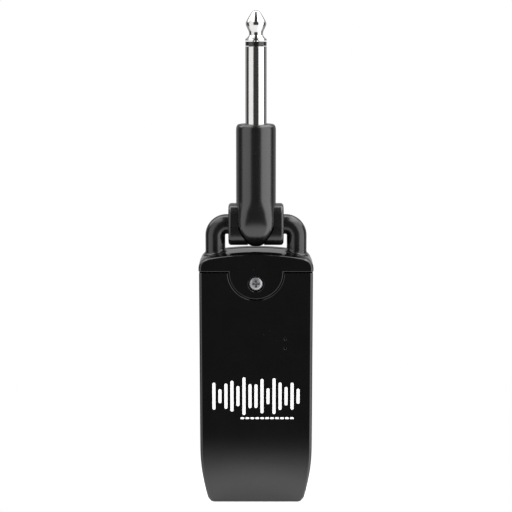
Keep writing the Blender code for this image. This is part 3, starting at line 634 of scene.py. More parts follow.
@dataclass
class Housing:
    """The front shell, the top cap, the rear cover and the screw; sizes in millimetres."""

    half_width: float = 17.05
    top: float = 78.2
    front: float = -8.5
    rear: float = 8.5
    split: float = 4.1
    gap: float = 0.3
    wall: float = 1.6
    crown_radius: float = 78.5
    top_corner: float = 3.2
    foot_corner: float = 2.3
    taper_start: float = 18.0
    taper_radius: float = 64.0
    bend_start: float = 33.0
    bend_radius: float = 200.0
    rim: float = 1.0
    rear_rounding: float = 1.8
    seam: float = 72.5
    proud: float = 0.15
    tongue_radius: float = 8.15
    tongue_depth: float = 2.2
    lip: float = 0.28
    squeeze: float = 0.3
    front_fall: float = 0.35
    rear_fall: float = 0.3
    crown_cuts: tuple[float, ...] = (-6.8, -6.1, -5.4, 1.2, 1.9, 2.6, 3.3)
    bend_rows: int = 26
    screw_height: float = 69.0
    screw_radius: float = 2.05
    leg_x: float = 12.3
    leg_radius: float = 3.0
    axis_y: float = -1.0
    button_place: Point = (17.2, -1.5, 44.2)
    button_half: tuple[float, float] = (1.1, 2.45)
    pinholes: tuple[tuple[float, float], ...] = ((8.8, 52.2), (8.8, 49.4))
    socket_half: tuple[float, float] = (4.47, 1.63)

    def _foot_corner_x(self) -> float:
        """How far from the middle the centre of the base's corner lies."""
        rise = self.taper_start - self.foot_corner
        reach = math.sqrt((self.taper_radius - self.foot_corner) ** 2 - rise ** 2)
        return self.half_width - self.taper_radius + reach

    def _foot_to_seam(self, bench: Bench, upto: float) -> None:
        """Draw the right side from the middle of the base up to a height."""
        taper_x, corner_x = self.half_width - self.taper_radius, self._foot_corner_x()
        rise = self.taper_start - self.foot_corner
        low = math.degrees(math.atan2(-rise, corner_x - taper_x))
        bench.start(0.0, 0.0, self.front)
        bench.line(corner_x / 2, 0.0)
        bench.line(corner_x, 0.0)
        bench.turn(corner_x, self.foot_corner, 90.0 + low, 8)
        bench.turn(taper_x, self.taper_start, -low, 14)
        bench.line(self.half_width, upto)

    def _crown(self, proud: float) -> tuple[float, float, float, float, float]:
        """The top outline: half width, corner radius, crown radius and the two centres' heights."""
        half, corner, crown = (size + proud for size in (self.half_width, self.top_corner,
                                                         self.crown_radius))
        crown_z = self.top - self.crown_radius
        corner_z = crown_z + math.sqrt((crown - corner) ** 2 - (half - corner) ** 2)
        return half, corner, crown, crown_z, corner_z

    def _over_the_crown(self, bench: Bench, proud: float) -> None:
        """Draw the right top corner and the crown to the middle, from the pen on the side."""
        half, corner, _, crown_z, corner_z = self._crown(proud)
        lean = math.degrees(math.atan2(corner_z - crown_z, half - corner))
        bench.line(half, corner_z)
        bench.turn(half - corner, corner_z, lean, 12)
        bench.turn(0.0, crown_z, 90.0 - lean, 20)

    def _bend(self, bench: Bench) -> None:
        """Lean the lower face back, row by row."""
        for row in (*range(1, self.bend_rows), 0):
            bench.slice((0, 0, self.bend_start * (1.0 - row / self.bend_rows)), (0, 0, 1))
        for vert in bench.bm.verts:
            if vert.co.z < self.bend_start and vert.co.y < self.front + 2.4:
                vert.co.y += self._lean(vert.co.z)

    def _on_seam(self, vert: BMVert, height: float, radius: float) -> bool:
        """Whether a vertex lies on the line between cap and shell."""
        level = abs(vert.co.z - height) < 0.002 and abs(vert.co.x) > radius - 0.1
        on_arc = abs(math.hypot(vert.co.x, vert.co.z - self.seam) - radius) < 0.003
        return level or (on_arc and vert.co.z < self.seam + 0.2)

    def _finish_half(self, bench: Bench, face: BMFace, plate: float, height: float,
                     radius: float) -> None:
        """Turn a flat front face into a shell with a rolled rim.

        Args:
            bench: the bench that it lies on.
            face: the front face.
            plate: how thick the front is.
            height: the height of its seam.
            radius: the radius of its tongue or of the recess for it.
        """
        bm = bench.bm
        back = bench.push([face], (0.0, plate, 0.0))
        bmesh.ops.inset_region(bm, faces=back, thickness=self.wall, use_even_offset=True,
                               use_boundary=True)
        bm.normal_update()
        level = self.front + plate

        def open_side(edge: BMEdge) -> bool:
            """Whether an edge borders a side wall away from the seam."""
            return (not all(self._on_seam(vert, height, radius) for vert in edge.verts)
                    and any(abs(near.normal.y) < 0.1 for near in edge.link_faces))

        band = [one for one in bm.faces
                if all(abs(vert.co.y - level) < 0.001 for vert in one.verts)
                and len(one.verts) == 4 and any(open_side(edge) for edge in one.edges)]
        bench.push(band, (0.0, self.split - self.gap / 2 - level, 0.0))
        self._bend(bench)
        bmesh.ops.recalc_face_normals(bm, faces=bm.faces[:])
        rim = [edge for edge in bm.edges if self._front_rim(edge)
               and not all(self._on_seam(vert, height, radius) for vert in edge.verts)]
        bench.bevel(rim, self.rim, 6, clamp=False)
        bm.normal_update()
        lip = [edge for edge in bm.edges if self._seam_lip(edge, height, radius)]
        bench.bevel(lip, self.lip, 3)

    def _sharpen_base(self, bench: Bench) -> None:
        """Narrow the rolled rim along the base, between its corners."""
        for vert in bench.bm.verts:
            if (vert.co.z < self.rim + 0.01 and vert.co.y < self.front + 5.3
                    and abs(vert.co.x) < 14.0):
                outline = self._foot_line(vert.co.x)
                lower = outline + (vert.co.z - outline) * self.squeeze
                vert.co.y += self._lean(lower) - self._lean(vert.co.z)
                vert.co.z = lower

    def _foot_line(self, x: float) -> float:
        """How high the base's outline lies at a distance from the middle."""
        out = min(max(abs(x) - self._foot_corner_x(), 0.0), self.foot_corner)
        return self.foot_corner - math.sqrt(self.foot_corner ** 2 - out ** 2)

    def _lean(self, height: float) -> float:
        """How far the lower face leans back at a height."""
        drop = max(self.bend_start - height, 0.0)
        return self.bend_radius - math.sqrt(self.bend_radius ** 2 - drop ** 2)

    def _soften_crown(self, bench: Bench) -> None:
        """Let the cap's top fall off towards the face and towards the rear cover."""
        for depth in self.crown_cuts:
            bench.slice((0, depth, 0), (0, 1, 0))
        rim_y, flat_y, rear_y = self.front + self.rim, self.front + 4.0, 0.5
        for vert in bench.bm.verts:
            x, y, z = vert.co
            share = min(max((z - self.seam - 0.6) / 3.4, 0.0), 1.0)
            share = share * share * (3.0 - 2.0 * share)
            fall = self.rear_fall * max((y - rear_y) / 3.5, 0.0) ** 2
            if y > rim_y - 0.01:
                fall += self.front_fall * max((flat_y - y) / (flat_y - rim_y), 0.0) ** 2
            else:
                fall += self.front_fall + (rim_y - y) * 0.12 - 0.45 * (self._crown_line(x) - z)
            vert.co.z -= fall * share

    def _crown_line(self, x: float) -> float:
        """How high the cap's outline lies at a distance from the middle."""
        half, corner, crown, crown_z, corner_z = self._crown(self.proud)
        out = min(max(abs(x) - (half - corner), 0.0), corner)
        arc = crown_z + math.sqrt(crown ** 2 - x * x)
        if out <= 0.15 * corner:
            return arc
        return min(arc, corner_z + math.sqrt(corner ** 2 - out ** 2))

    def _front_rim(self, edge: BMEdge) -> bool:
        """Whether an edge parts the front face from a side."""
        if len(edge.link_faces) != 2:
            return False
        first, second = sorted(edge.link_faces, key=lambda one: one.normal.y)
        return first.normal.y < -0.9 and abs(second.normal.y) < 0.3

    def _seam_lip(self, edge: BMEdge, height: float, radius: float) -> bool:
        """Whether an edge is the outer corner of the seam's wall."""

        def on_seam(verts: Iterable[BMVert]) -> bool:
            return all(self._on_seam(vert, height, radius) for vert in verts)

        if len(edge.link_faces) != 2 or not on_seam(edge.verts):
            return False
        walls = [on_seam(one.verts) for one in edge.link_faces]
        other = edge.link_faces[1 if walls[0] else 0]
        outward = other.normal.y < -0.2 or abs(other.normal.x) > 0.6
        inside = max(abs(vert.co.x) for vert in edge.verts) < self.half_width - 1.2
        return walls.count(True) == 1 and outward and not (inside and other.normal.y > -0.2)

    def shell(self) -> bpy.types.Object:
        """Build the front shell with its face, sides and base."""
        bench = Bench()
        height, radius = self.seam - self.gap / 2, self.tongue_radius + self.gap
        self._foot_to_seam(bench, height)
        edge_x = math.sqrt(radius ** 2 - (self.gap / 2) ** 2)
        bench.line(edge_x, height)
        low = math.degrees(math.asin(self.gap / 2 / radius))
        bench.turn(0.0, self.seam, -(90.0 - low), 28)
        self._finish_half(bench, bench.close_face(), self.wall, height, radius)
        self._sharpen_base(bench)
        made = bench.solid("housing_shell")
        seat_y = self.front + self.tongue_depth + self.gap
        disc = [(0, 0), (radius + 1.6, 0), (radius + 1.6, 1.4), (0, 1.4)]
        seat = Bench().spin(disc, 96, axis=Axis.Y, centre=(0, seat_y, self.seam)).solid("seat")
        trim = Bench()
        trim.box((-20, -20, height), (20, 20, 100))
        carve(seat, Cut.AWAY, trim.solid("seat_trim"))
        lip = Bench()
        inner = self.half_width - self.wall
        for side in (-1, 1):
            low, high = sorted((side * (inner - 0.6), side * (inner + 0.05)))
            lip.box((low, self.front + self.tongue_depth + 0.1, height - 2.0),
                    (high, self.split - 0.3, height + 1.2))
        carve(made, Cut.JOIN, seat, lip.solid("lip"))
        carve(made, Cut.AWAY, *self._openings())
        return made

    def _openings(self) -> list[bpy.types.Object]:
        """The cutters for the button slots, the pinholes and the charging mouth."""
        tools: list[bpy.types.Object] = []
        _, y, z = self.button_place
        for side in (-1, 1):
            bench = Bench()
            half_y, half_z = self.button_half[0] + self.gap, self.button_half[1] + self.gap
            x = side * self.half_width
            bench.bar((x - 3, y - half_y, z - half_z), (x + 3, y + half_y, z + half_z), 0,
                      half_y * ROUND_END, 8)
            tools.append(bench.solid(f"slot_{side}"))
        for x, height in self.pinholes:
            flare = [(0, -2), (0.46, -2), (0.46, -0.02), (0.36, 0.05), (0.3, 0.16), (0.3, 3.2),
                     (0, 3.2)]
            hole = Bench().spin(flare, 24, axis=Axis.Y, centre=(x, self.front, height))
            tools.append(hole.solid(f"pinhole_{height:.0f}"))
        mouth = Bench()
        half_x, half_y = (half + 0.35 for half in self.socket_half)
        mouth.bar((-half_x, self.axis_y - half_y, -2), (half_x, self.axis_y + half_y, 3), 2,
                  half_y * ROUND_END, 10)
        tools.append(mouth.solid("mouth"))
        return tools

    def cap(self) -> bpy.types.Object:
        """Build the top cap with its tongue, the screw's well and the leg holes."""
        bench = Bench()
        height, radius = self.seam + self.gap / 2, self.tongue_radius
        bench.start(0.0, self.seam - radius, self.front)
        high = math.degrees(math.asin(self.gap / 2 / radius))
        bench.turn(0.0, self.seam, 90.0 + high, 28)
        bench.line(self.half_width + self.proud, height)
        self._over_the_crown(bench, self.proud)
        self._finish_half(bench, bench.close_face(), self.tongue_depth, height, radius)
        self._soften_crown(bench)
        made = bench.solid("housing_cap")
        well = [(0, -2), (2.5, -2), (2.5, -0.03), (2.4, 0.05), (2.35, 0.2), (2.35, 1.4), (1.3, 1.4),
                (1.3, 4), (0, 4)]
        place = (0, self.front, self.screw_height)
        tools = [Bench().spin(well, 64, axis=Axis.Y, centre=place).solid("well")]
        reach = self.leg_radius + self.gap
        for side in (-1, 1):
            place = (side * self.leg_x, self.axis_y, self.top - 1)
            tools.append(Bench().spin([(0, -8), (reach, -8), (reach, 8), (0, 8)], 64,
                                      centre=place).solid("leg"))
        carve(made, Cut.AWAY, *tools)
        return made

    def cover(self) -> bpy.types.Object:
        """Build the rear cover with its rounded back."""
        bench = Bench()
        front = self.split + self.gap / 2
        self._foot_to_seam(bench, self.seam)
        self._over_the_crown(bench, 0.0)
        face = bench.close_face()
        bm = bench.bm
        bmesh.ops.translate(bm, verts=bm.verts[:], vec=(0, front - self.front, 0))
        bench.push([face], (0.0, self.rear - front, 0.0))
        bm.normal_update()
        rear = [edge for edge in bm.edges
                if all(vert.co.y > self.rear - 0.001 for vert in edge.verts)]
        bench.bevel(rear, self.rear_rounding, 9)
        bmesh.ops.recalc_face_normals(bm, faces=bm.faces[:])
        flat = max((one for one in bm.faces if abs(one.calc_center_median().y - front) < 0.01),
                   key=lambda one: one.calc_area())
        bmesh.ops.inset_region(bm, faces=[flat], thickness=self.wall + 0.05, use_even_offset=True)
        ring = bmesh.ops.inset_region(bm, faces=[flat], thickness=0.5, use_even_offset=True)["faces"]
        bench.push([flat], (0.0, self.rear - self.wall - front, 0.0))
        bench.push(ring, (0.0, -0.9, 0.0))
        edge_line = [edge for edge in bm.edges
                     if all(abs(vert.co.y - front) < 0.001 for vert in edge.verts)
                     and any(abs(one.normal.y) < 0.2 and one.calc_center_median().dot(one.normal) > 0
                             for one in edge.link_faces)
                     and self._outermost(edge)]
        bench.bevel(edge_line, self.lip, 2)
        return bench.solid("housing_cover")

    def _outermost(self, edge: BMEdge) -> bool:
        """Whether an edge lies on the housing's outer line, not on the hollow's."""
        middle = (edge.verts[0].co + edge.verts[1].co) / 2
        crown_z = self.top - self.crown_radius
        inset = 0.9
        if middle.z <= self.taper_start:
            taper_x = self.half_width - self.taper_radius
            out = math.hypot(abs(middle.x) - taper_x, middle.z - self.taper_start)
            return middle.z < 0.5 or out > self.taper_radius - inset
        return (abs(middle.x) > self.half_width - inset
                or math.hypot(middle.x, middle.z - crown_z) > self.crown_radius - inset)

    def screw(self) -> bpy.types.Object:
        """Build the cross-recessed screw in the tongue."""
        radius = self.screw_radius
        profile = [(0, 0.0), (0.5, 0.01), (radius * 0.6, 0.06), (radius * 0.85, 0.2),
                   (radius * 0.97, 0.38), (radius, 0.55), (radius, 0.9), (1.0, 0.95), (1.0, 6.0),
                   (0.6, 6.4), (0, 6.4)]
        made = Bench().spin(profile, 64, axis=Axis.Y,
                            centre=(0, self.front + 0.2, self.screw_height)).solid("tongue_screw")
        for reach in ((1.15, 0.27), (0.27, 1.15)):
            slot = Bench()
            low = (-reach[0], self.front - 1.0, self.screw_height - reach[1])
            edges = slot.box(low, (reach[0], self.front + 0.95, self.screw_height + reach[1]))
            deep = [edge for edge in edges if all(vert.co.y > self.front for vert in edge.verts)]
            slot.bevel(deep, 0.2, 1)
            carve(made, Cut.AWAY, slot.solid("slot"))
        return made

    def build(self) -> None:
        """Build and dress the whole housing."""
        dress(self.shell(), PRINTED, Body.HOUSING, "front_shell")
        dress(self.cap(), GLOSS, Body.HOUSING, "top_cap")
        dress(self.cover(), GLOSS, Body.HOUSING, "rear_cover")
        dress(self.screw(), STEEL, Body.HOUSING, "cap_screw", crease=24.0)


# ---------------------------------------------------------------- the bracket

@dataclass
class Bracket:
    """The bent tube that carries the knuckle, and its collars on the cap; sizes in millimetres."""

    leg_x: float = 12.3
    radius: float = 3.0
    bore: float = 1.9
    bend: float = 3.4
    foot: float = 71.0
    axis_y: float = -1.0
    axis_z: float = 86.1
    crown_radius: float = 78.65
    crown_z: float = -0.3

    def _tube(self, radius: float, sides: int) -> BMesh:
        """A tube along the bracket's line, open at both feet."""
        bm = bmesh.new()
        centre = Matrix.Translation((-self.leg_x, self.axis_y, self.foot))
        made = bmesh.ops.create_circle(bm, segments=sides, radius=radius, matrix=centre)
        edges = list({edge for vert in made["verts"] for edge in vert.link_edges})
        turn_x = self.leg_x - self.bend
        turn_z = self.axis_z - self.bend
        edges = self._grow(bm, edges, (0, 0, turn_z - self.foot))
        edges = self._swing(bm, edges, (-turn_x, self.axis_y, turn_z))
        edges = self._grow(bm, edges, (2 * turn_x, 0, 0))
        edges = self._swing(bm, edges, (turn_x, self.axis_y, turn_z))
        self._grow(bm, edges, (0, 0, self.foot - turn_z))
        return bm

    @staticmethod
    def _grow(bm: BMesh, edges: list[BMEdge], offset: Point) -> list[BMEdge]:
        """Extrude a ring straight on and return its far end."""
        grown = bmesh.ops.extrude_edge_only(bm, edges=edges)["geom"]
        bmesh.ops.translate(bm, verts=only(BMVert, grown), vec=offset)
        return only(BMEdge, grown)

    @staticmethod
    def _swing(bm: BMesh, edges: list[BMEdge], centre: Point) -> list[BMEdge]:
        """Turn a ring through a quarter bend and return its far end."""
        ring = [*edges, *{vert for edge in edges for vert in edge.verts}]
        spun = bmesh.ops.spin(bm, geom=ring, cent=centre, axis=(0, 1, 0), dvec=(0, 0, 0),
                              angle=math.pi / 2, steps=22, use_merge=False, use_duplicate=False)
        return only(BMEdge, spun["geom_last"])

    def tube(self) -> bpy.types.Object:
        """Build the tube with its bore and closed ends."""
        bench = Bench()
        bench.add(self._tube(self.radius, 56))
        bench.add(self._tube(self.bore, 56))
        bm = bench.bm
        for side in (-1, 1):
            ends = [edge for edge in bm.edges if len(edge.link_faces) == 1
                    and all(vert.co.x * side > 0 for vert in edge.verts)]
            bmesh.ops.bridge_loops(bm, edges=ends)
        window = Bench()
        window.box((-2.0, self.axis_y - 1.3, self.axis_z + 0.5),
                   (2.0, self.axis_y + 1.3, self.axis_z + 5.0))
        return carve(bench.solid("bracket_tube"), Cut.AWAY, window.solid("window"))

    def collar(self, side: int) -> bpy.types.Object:
        """Build the fillet where the left (-1) or right (1) leg meets the cap."""
        inner = self.radius + 0.02
        profile = [(inner, 1.15), (inner + 0.07, 0.62), (inner + 0.2, 0.3), (inner + 0.42, 0.1),
                   (inner + 0.62, 0.03), (inner + 0.66, -0.25), (inner, -0.25)]
        bench = Bench().spin(profile, 72, closed=True,
                             centre=(side * self.leg_x, self.axis_y, 0.0))
        for vert in bench.bm.verts:
            vert.co.z += self.crown_z + math.sqrt(self.crown_radius ** 2 - vert.co.x ** 2)
        return bench.solid("leg_collar_right" if side > 0 else "leg_collar_left")

    def build(self) -> None:
        """Build and dress the tube and its collars."""
        dress(self.tube(), BRACKET_GLOSS, Body.HOUSING, "u_bracket", even=False)
        for side in (-1, 1):
            dress(self.collar(side), BRACKET_GLOSS, Body.HOUSING, even=False, crease=50.0)


# ---------------------------------------------------------------- the knuckle and barrel

@dataclass
class Knuckle:
    """The barrel, its foot, the drum round the cross-bar and the closures; in millimetres."""

    axis_y: float = -1.0
    axis_z: float = 86.1
    barrel_radius: float = 5.97
    barrel_top: float = 116.2
    drum_radius: float = 6.25
    drum_half: float = 8.3
    drum_edge: float = 0.9
    drum_depth: float = 4.9
    drum_power: float = 3.2
    foot_depth: float = 6.95
    foot_z: float = 89.5
    foot_drop: float = 10.2
    foot_rise: float = 5.0
    gap: float = 0.3
    split_gap: float = 0.08
    bar_radius: float = 3.0
    bush_radius: float = 3.9
    bush_length: float = 1.8
    plug_radius: float = 3.175
    sides: int = 80

    def _foot_point(self, angle: float, height: float, grow: float) -> Vector:
        """A point on the foot.

        Args:
            angle: the way it faces, in radians from the hinge axis.
            height: from -1 at the bottom to 1 where the foot has become the barrel.
            grow: how far it stands outside the real surface.

        Returns:
            The point, in millimetres.
        """
        lift, sink = max(height, 0.0), max(-height, 0.0)
        shrink = math.sqrt(max(1.0 - sink ** 2, 0.0))
        blend = (1.0 - lift) ** 2 * (1.0 + 2.0 * lift)
        half_x = self.barrel_radius + grow
        half_y = half_x + (self.foot_depth + grow - half_x) * blend
        power = 2.0 / (2.0 + blend + min(sink / 0.35, 1.0))
        cos, sin = math.cos(angle), math.sin(angle)
        x = math.copysign(abs(cos) ** power, cos) * half_x * shrink
        y = math.copysign(abs(sin) ** power, sin) * half_y * shrink
        level = height * ((self.foot_drop + grow) if height < 0.0 else self.foot_rise)
        return Vector((x, self.axis_y + y, self.foot_z + level))

    def _body(self, grow: float, above: Profile) -> Bench:
        """The foot, and above it rings of the given radius and height.

        Args:
            grow: how far the foot stands outside the real surface.
            above: (radius, height) of the rings that follow, the last of which is closed.

        Returns:
            The bench with the closed body on it.
        """
        bench = Bench()
        bm = bench.bm
        ring = bmesh.ops.create_circle(bm, segments=self.sides, radius=1.0)["verts"]
        angles = [math.tau * step / self.sides for step in range(self.sides)]
        lows = [-math.cos(math.pi / 2 * step / 22) for step in range(1, 22)]
        stations: list[Callable[[float], Vector]] = [
            (lambda angle, level=level: self._foot_point(angle, level, grow))
            for level in [*lows, *(step / 14 for step in range(15))]]
        stations += [(lambda angle, radius=radius, height=height: Vector(
            (math.cos(angle) * radius, self.axis_y + math.sin(angle) * radius, height)))
            for radius, height in above]
        edges = list({edge for vert in ring for edge in vert.link_edges})
        for number, station in enumerate(stations):
            if number:
                grown = bmesh.ops.extrude_edge_only(bm, edges=edges)["geom"]
                edges = only(BMEdge, grown)
                ring = self._in_order(only(BMVert, grown))
            else:
                ring = self._in_order(ring)
                first = list(ring)
            for vert, angle in zip(ring, angles):
                vert.co = station(angle)
        base = [edge for edge in bm.edges if all(vert in first for vert in edge.verts)]
        bottom = bmesh.ops.contextual_create(bm, geom=base)
        lid = bmesh.ops.contextual_create(bm, geom=edges)
        bmesh.ops.poke(bm, faces=[*bottom["faces"], *lid["faces"]])
        return bench

    def _in_order(self, ring: list[BMVert]) -> list[BMVert]:
        """A ring's vertices in order round the barrel, starting on the hinge axis."""
        middle = sum((vert.co for vert in ring), Vector()) / len(ring)

        def way(vert: BMVert) -> float:
            angle = math.atan2(vert.co.y - middle.y, vert.co.x - middle.x)
            return angle + math.tau if angle < -0.0001 else angle

        return sorted(ring, key=way)

    def _drum(self, name: str) -> bpy.types.Object:
        """The cross-piece along the hinge axis, a rounded block in section."""
        edge, half, radius = self.drum_edge, self.drum_half, self.drum_radius
        rounding = [(radius - edge + edge * math.sin(a), half - edge + edge * math.cos(a))
                    for a in (math.radians(step * 9) for step in range(11))]
        profile = [(0.0, half), *rounding, *((r, -h) for r, h in reversed(rounding)), (0.0, -half)]
        bench = Bench().spin(profile, 96, axis=Axis.X)
        power = self.drum_power
        for vert in bench.bm.verts:
            y, z = vert.co.y, vert.co.z
            if math.hypot(y, z) > 0.001:
                swell = math.hypot(y, z) / (abs(y) ** power + abs(z) ** power) ** (1.0 / power)
                vert.co.y, vert.co.z = y * swell * self.drum_depth / radius, z * swell
        bmesh.ops.translate(bench.bm, vec=(0.0, self.axis_y, self.axis_z), verts=bench.bm.verts[:])
        return bench.solid(name)

    def _bore(self) -> bpy.types.Object:
        """The cutter for the cross-bar and the seats of the bushes."""
        bore, seat = self.bar_radius + self.gap, self.bush_radius + self.gap
        step = self.drum_half - self.bush_length - self.gap
        profile = [(0, 20), (seat, 20), (seat, step), (bore, step), (bore, -step), (seat, -step),
                   (seat, -20), (0, -20)]
        return Bench().spin(profile, 72, axis=Axis.X,
                            centre=(0, self.axis_y, self.axis_z)).solid("bore")

    def barrel(self) -> bpy.types.Object:
        """Build the barrel, its foot and the upper half of the drum."""
        top, radius = self.barrel_top, self.barrel_radius
        hole = self.plug_radius + self.gap
        start = self.foot_z + self.foot_rise
        rise = [start + (top - 1.7 - start) * step / 6 for step in range(1, 7)]
        above = [*((radius, level) for level in rise), (radius - 0.03, top - 1.25),
                 (radius - 0.12, top - 0.8), (radius - 0.32, top - 0.36), (radius - 0.6, top - 0.1),
                 (radius - 0.95, top),
                 (hole + 0.2, top), (hole + 0.06, top - 0.06), (hole, top - 0.22), (hole, top - 1.6),
                 (4.6, top - 1.62), (4.6, self.axis_z + 8.0), (2.2, self.axis_z + 6.0),
                 (2.2, self.axis_z + 0.5)]
        body = self._body(0.0, above).solid("plug_barrel_body")
        drum = self._drum("drum")
        carve(drum, Cut.AWAY, *(self._under(side, 1.2, self.axis_z - self.gap) for side in (-1, 1)))
        carve(body, Cut.JOIN, drum)
        return carve(body, Cut.AWAY, self._bore())

    def _under(self, side: int, start: float, top: float) -> bpy.types.Object:
        """A block on one side below a height, from a distance to beyond the drum."""
        beyond = 12.0
        low, high = sorted((side * start, side * beyond))
        block = Bench()
        block.box((low, self.axis_y - beyond, self.axis_z - beyond),
                  (high, self.axis_y + beyond, top))
        return block.solid("under")

    def closure(self, side: int) -> bpy.types.Object:
        """Build the left (-1) or right (1) lower closure of the drum."""
        made = self._drum("knuckle_closure_r" if side > 0 else "knuckle_closure_l")
        carve(made, Cut.KEEP, self._under(side, 1.0, self.axis_z - self.gap - self.split_gap))
        foot = self._body(self.gap, [(self.barrel_radius + self.gap, self.axis_z + 12)])
        return carve(made, Cut.AWAY, foot.solid("foot"), self._bore())

    def bush(self, side: int) -> bpy.types.Object:
        """Build the left (-1) or right (1) friction bush."""
        low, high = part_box("friction_bush_right" if side > 0 else "friction_bush_left")
        start, end = low.x / MM, high.x / MM
        inner, outer = self.bar_radius + 0.05, (high.z - low.z) / MM / 2
        profile = [(inner, start), (outer - 0.2, start), (outer, start + 0.2), (outer, end - 0.2),
                   (outer - 0.2, end), (inner, end)]
        made = Bench().spin(profile, 72, closed=True, axis=Axis.X,
                            centre=(0, self.axis_y, self.axis_z))
        return made.solid("hinge_bush_r" if side > 0 else "hinge_bush_l")

    def build(self) -> None:
        """Build and dress the barrel, the closures and the bushes."""
        dress(self.barrel(), BARREL_GLOSS, Body.PLUG, "plug_barrel", even=False, crease=38.0)
        for side, name in ((-1, "left"), (1, "right")):
            dress(self.closure(side), SATIN, Body.PLUG, f"knuckle_closure_{name}", even=False,
                  crease=38.0)
            dress(self.bush(side), NYLON, Body.PLUG, f"friction_bush_{name}", even=False)


# ---------------------------------------------------------------- the plug

@dataclass
class Plug:
    """The plug's tip, ring and sleeve; sizes in millimetres."""

    axis_y: float = -1.0
    radius: float = 3.175
    barrel_top: float = 116.2
    sleeve_top: float = 139.1
    ring_top: float = 140.65
    tip_top: float = 149.6
    sleeve_bore: float = 2.45
    rod: float = 1.0
    gap: float = 0.3
    inside: float = field(init=False)

    def __post_init__(self) -> None:
        """Work out where the parts inside the barrel start."""
        self.inside = self.barrel_top - 1.6 - self.gap

    def _turned(self, name: str, profile: Profile, closed: bool) -> bpy.types.Object:
        """Turn a profile round the plug's axis."""
        return Bench().spin(profile, 96, closed=closed, centre=(0, self.axis_y, 0)).solid(name)

    def sleeve(self) -> bpy.types.Object:
        """Build the long sleeve with its rolled upper edge."""
        r, top, low, bore = self.radius, self.sleeve_top, self.inside, self.sleeve_bore
        return self._turned("jack_sleeve", [
            (r - 0.1, top), (r - 0.03, top - 0.03), (r, top - 0.1), (r, low), (4.2, low),
            (4.2, low - 3), (bore, low - 3), (bore, top)], True)

    def ring(self) -> bpy.types.Object:
        """Build the black insulator between tip and sleeve."""
        r, low = self.radius - 0.03, self.inside - 6.0
        bottom, top = self.sleeve_top + self.gap / 2, self.ring_top - self.gap / 2
        inner, rod = self.sleeve_bore - self.gap, self.rod + self.gap
        return self._turned("jack_ring", [
            (r - 0.05, top), (r, top - 0.05), (r, bottom + 0.05), (r - 0.05, bottom),
            (inner, bottom), (inner, low), (rod, low), (rod, top)], True)

    def tip(self) -> bpy.types.Object:
        """Build the tip: cone, belly, waist and flare, on its long rod."""
        top, base = self.tip_top, self.ring_top + self.gap / 2
        knots = [(0.0, 0.0), (0.42, 0.03), (0.85, 0.22), (1.25, 0.55), (1.75, 1.3), (2.25, 2.1),
                 (2.7, 2.88), (2.95, 3.4), (3.05, 3.85), (2.98, 4.35), (2.72, 4.95), (2.4, 5.6),
                 (2.14, 6.2), (2.03, 6.75), (2.08, 7.2), (2.3, 7.6), (2.64, 7.98), (2.95, 8.25),
                 (3.1, 8.36), (3.165, 8.45)]
        profile = [(radius, top - drop) for radius, drop in self._eased(knots)]
        profile += [(self.radius, base + 0.05), (self.radius - 0.05, base), (self.rod, base),
                    (self.rod, self.inside - 9.0), (0.0, self.inside - 9.0)]
        return self._turned("jack_tip", profile, False)

    @staticmethod
    def _eased(knots: Profile) -> list[tuple[float, float]]:
        """A smooth line through the knots of a profile, three steps to each span."""
        line: list[tuple[float, float]] = []
        for index in range(len(knots) - 1):
            p0, p1 = knots[max(index - 1, 0)], knots[index]
            p2, p3 = knots[index + 1], knots[min(index + 2, len(knots) - 1)]
            for step in range(3):
                t = step / 3
                line.append(tuple(0.5 * (2 * b + (c - a) * t + (2 * a - 5 * b + 4 * c - d) * t * t
                                         + (3 * b - a - 3 * c + d) * t ** 3)
                                  for a, b, c, d in zip(p0, p1, p2, p3)))
        return [*line, knots[-1]]

    def build(self) -> None:
        """Build and dress the plug."""
        dress(self.sleeve(), NICKEL, Body.PLUG, "plug_sleeve", even=False)
        dress(self.ring(), RING, Body.PLUG, "plug_insulator", even=False)
        dress(self.tip(), NICKEL, Body.PLUG, "plug_tip", even=False, crease=40.0)


# ---------------------------------------------------------------- the buttons

@dataclass
class Button:
    """One side button: a rounded bar on a flange inside the wall; sizes in millimetres."""

    side: int
    face_x: float = 17.2
    flange_x: float = 14.85
    height: float = 44.2
    depth: float = -1.5
    half_length: float = 2.45
    half_width: float = 1.1

    def build(self) -> None:
        """Build and dress the button."""
        name, body = (("left", Body.BUTTON_LEFT), ("right", Body.BUTTON_RIGHT))[self.side > 0]
        stem = Bench()
        stem.bar(*self._block(self.flange_x - 0.2, self.face_x, self.half_width, self.half_length),
                 0, self.half_width * ROUND_END, 10)
        outer = [edge for edge in stem.bm.edges
                 if all(abs(vert.co.x) > self.face_x - 0.001 for vert in edge.verts)]
        stem.bevel(outer, 0.26, 5)
        flange = Bench()
        rim = flange.box(*self._block(self.flange_x - 0.85, self.flange_x, 2.0, 3.3))
        flange.bevel(rim, 0.12, 2)
        made = carve(stem.solid(f"press_button_{name}"), Cut.JOIN, flange.solid("flange"))
        dress(made, GLOSS, body, f"{name}_button")

    def _block(self, start: float, end: float, half_y: float, half_z: float) -> tuple[Point, Point]:
        """The corners of a block across the wall, given from its inner to its outer end."""
        low, high = sorted((self.side * start, self.side * end))
        return ((low, self.depth - half_y, self.height - half_z),
                (high, self.depth + half_y, self.height + half_z))


# ---------------------------------------------------------------- the studio

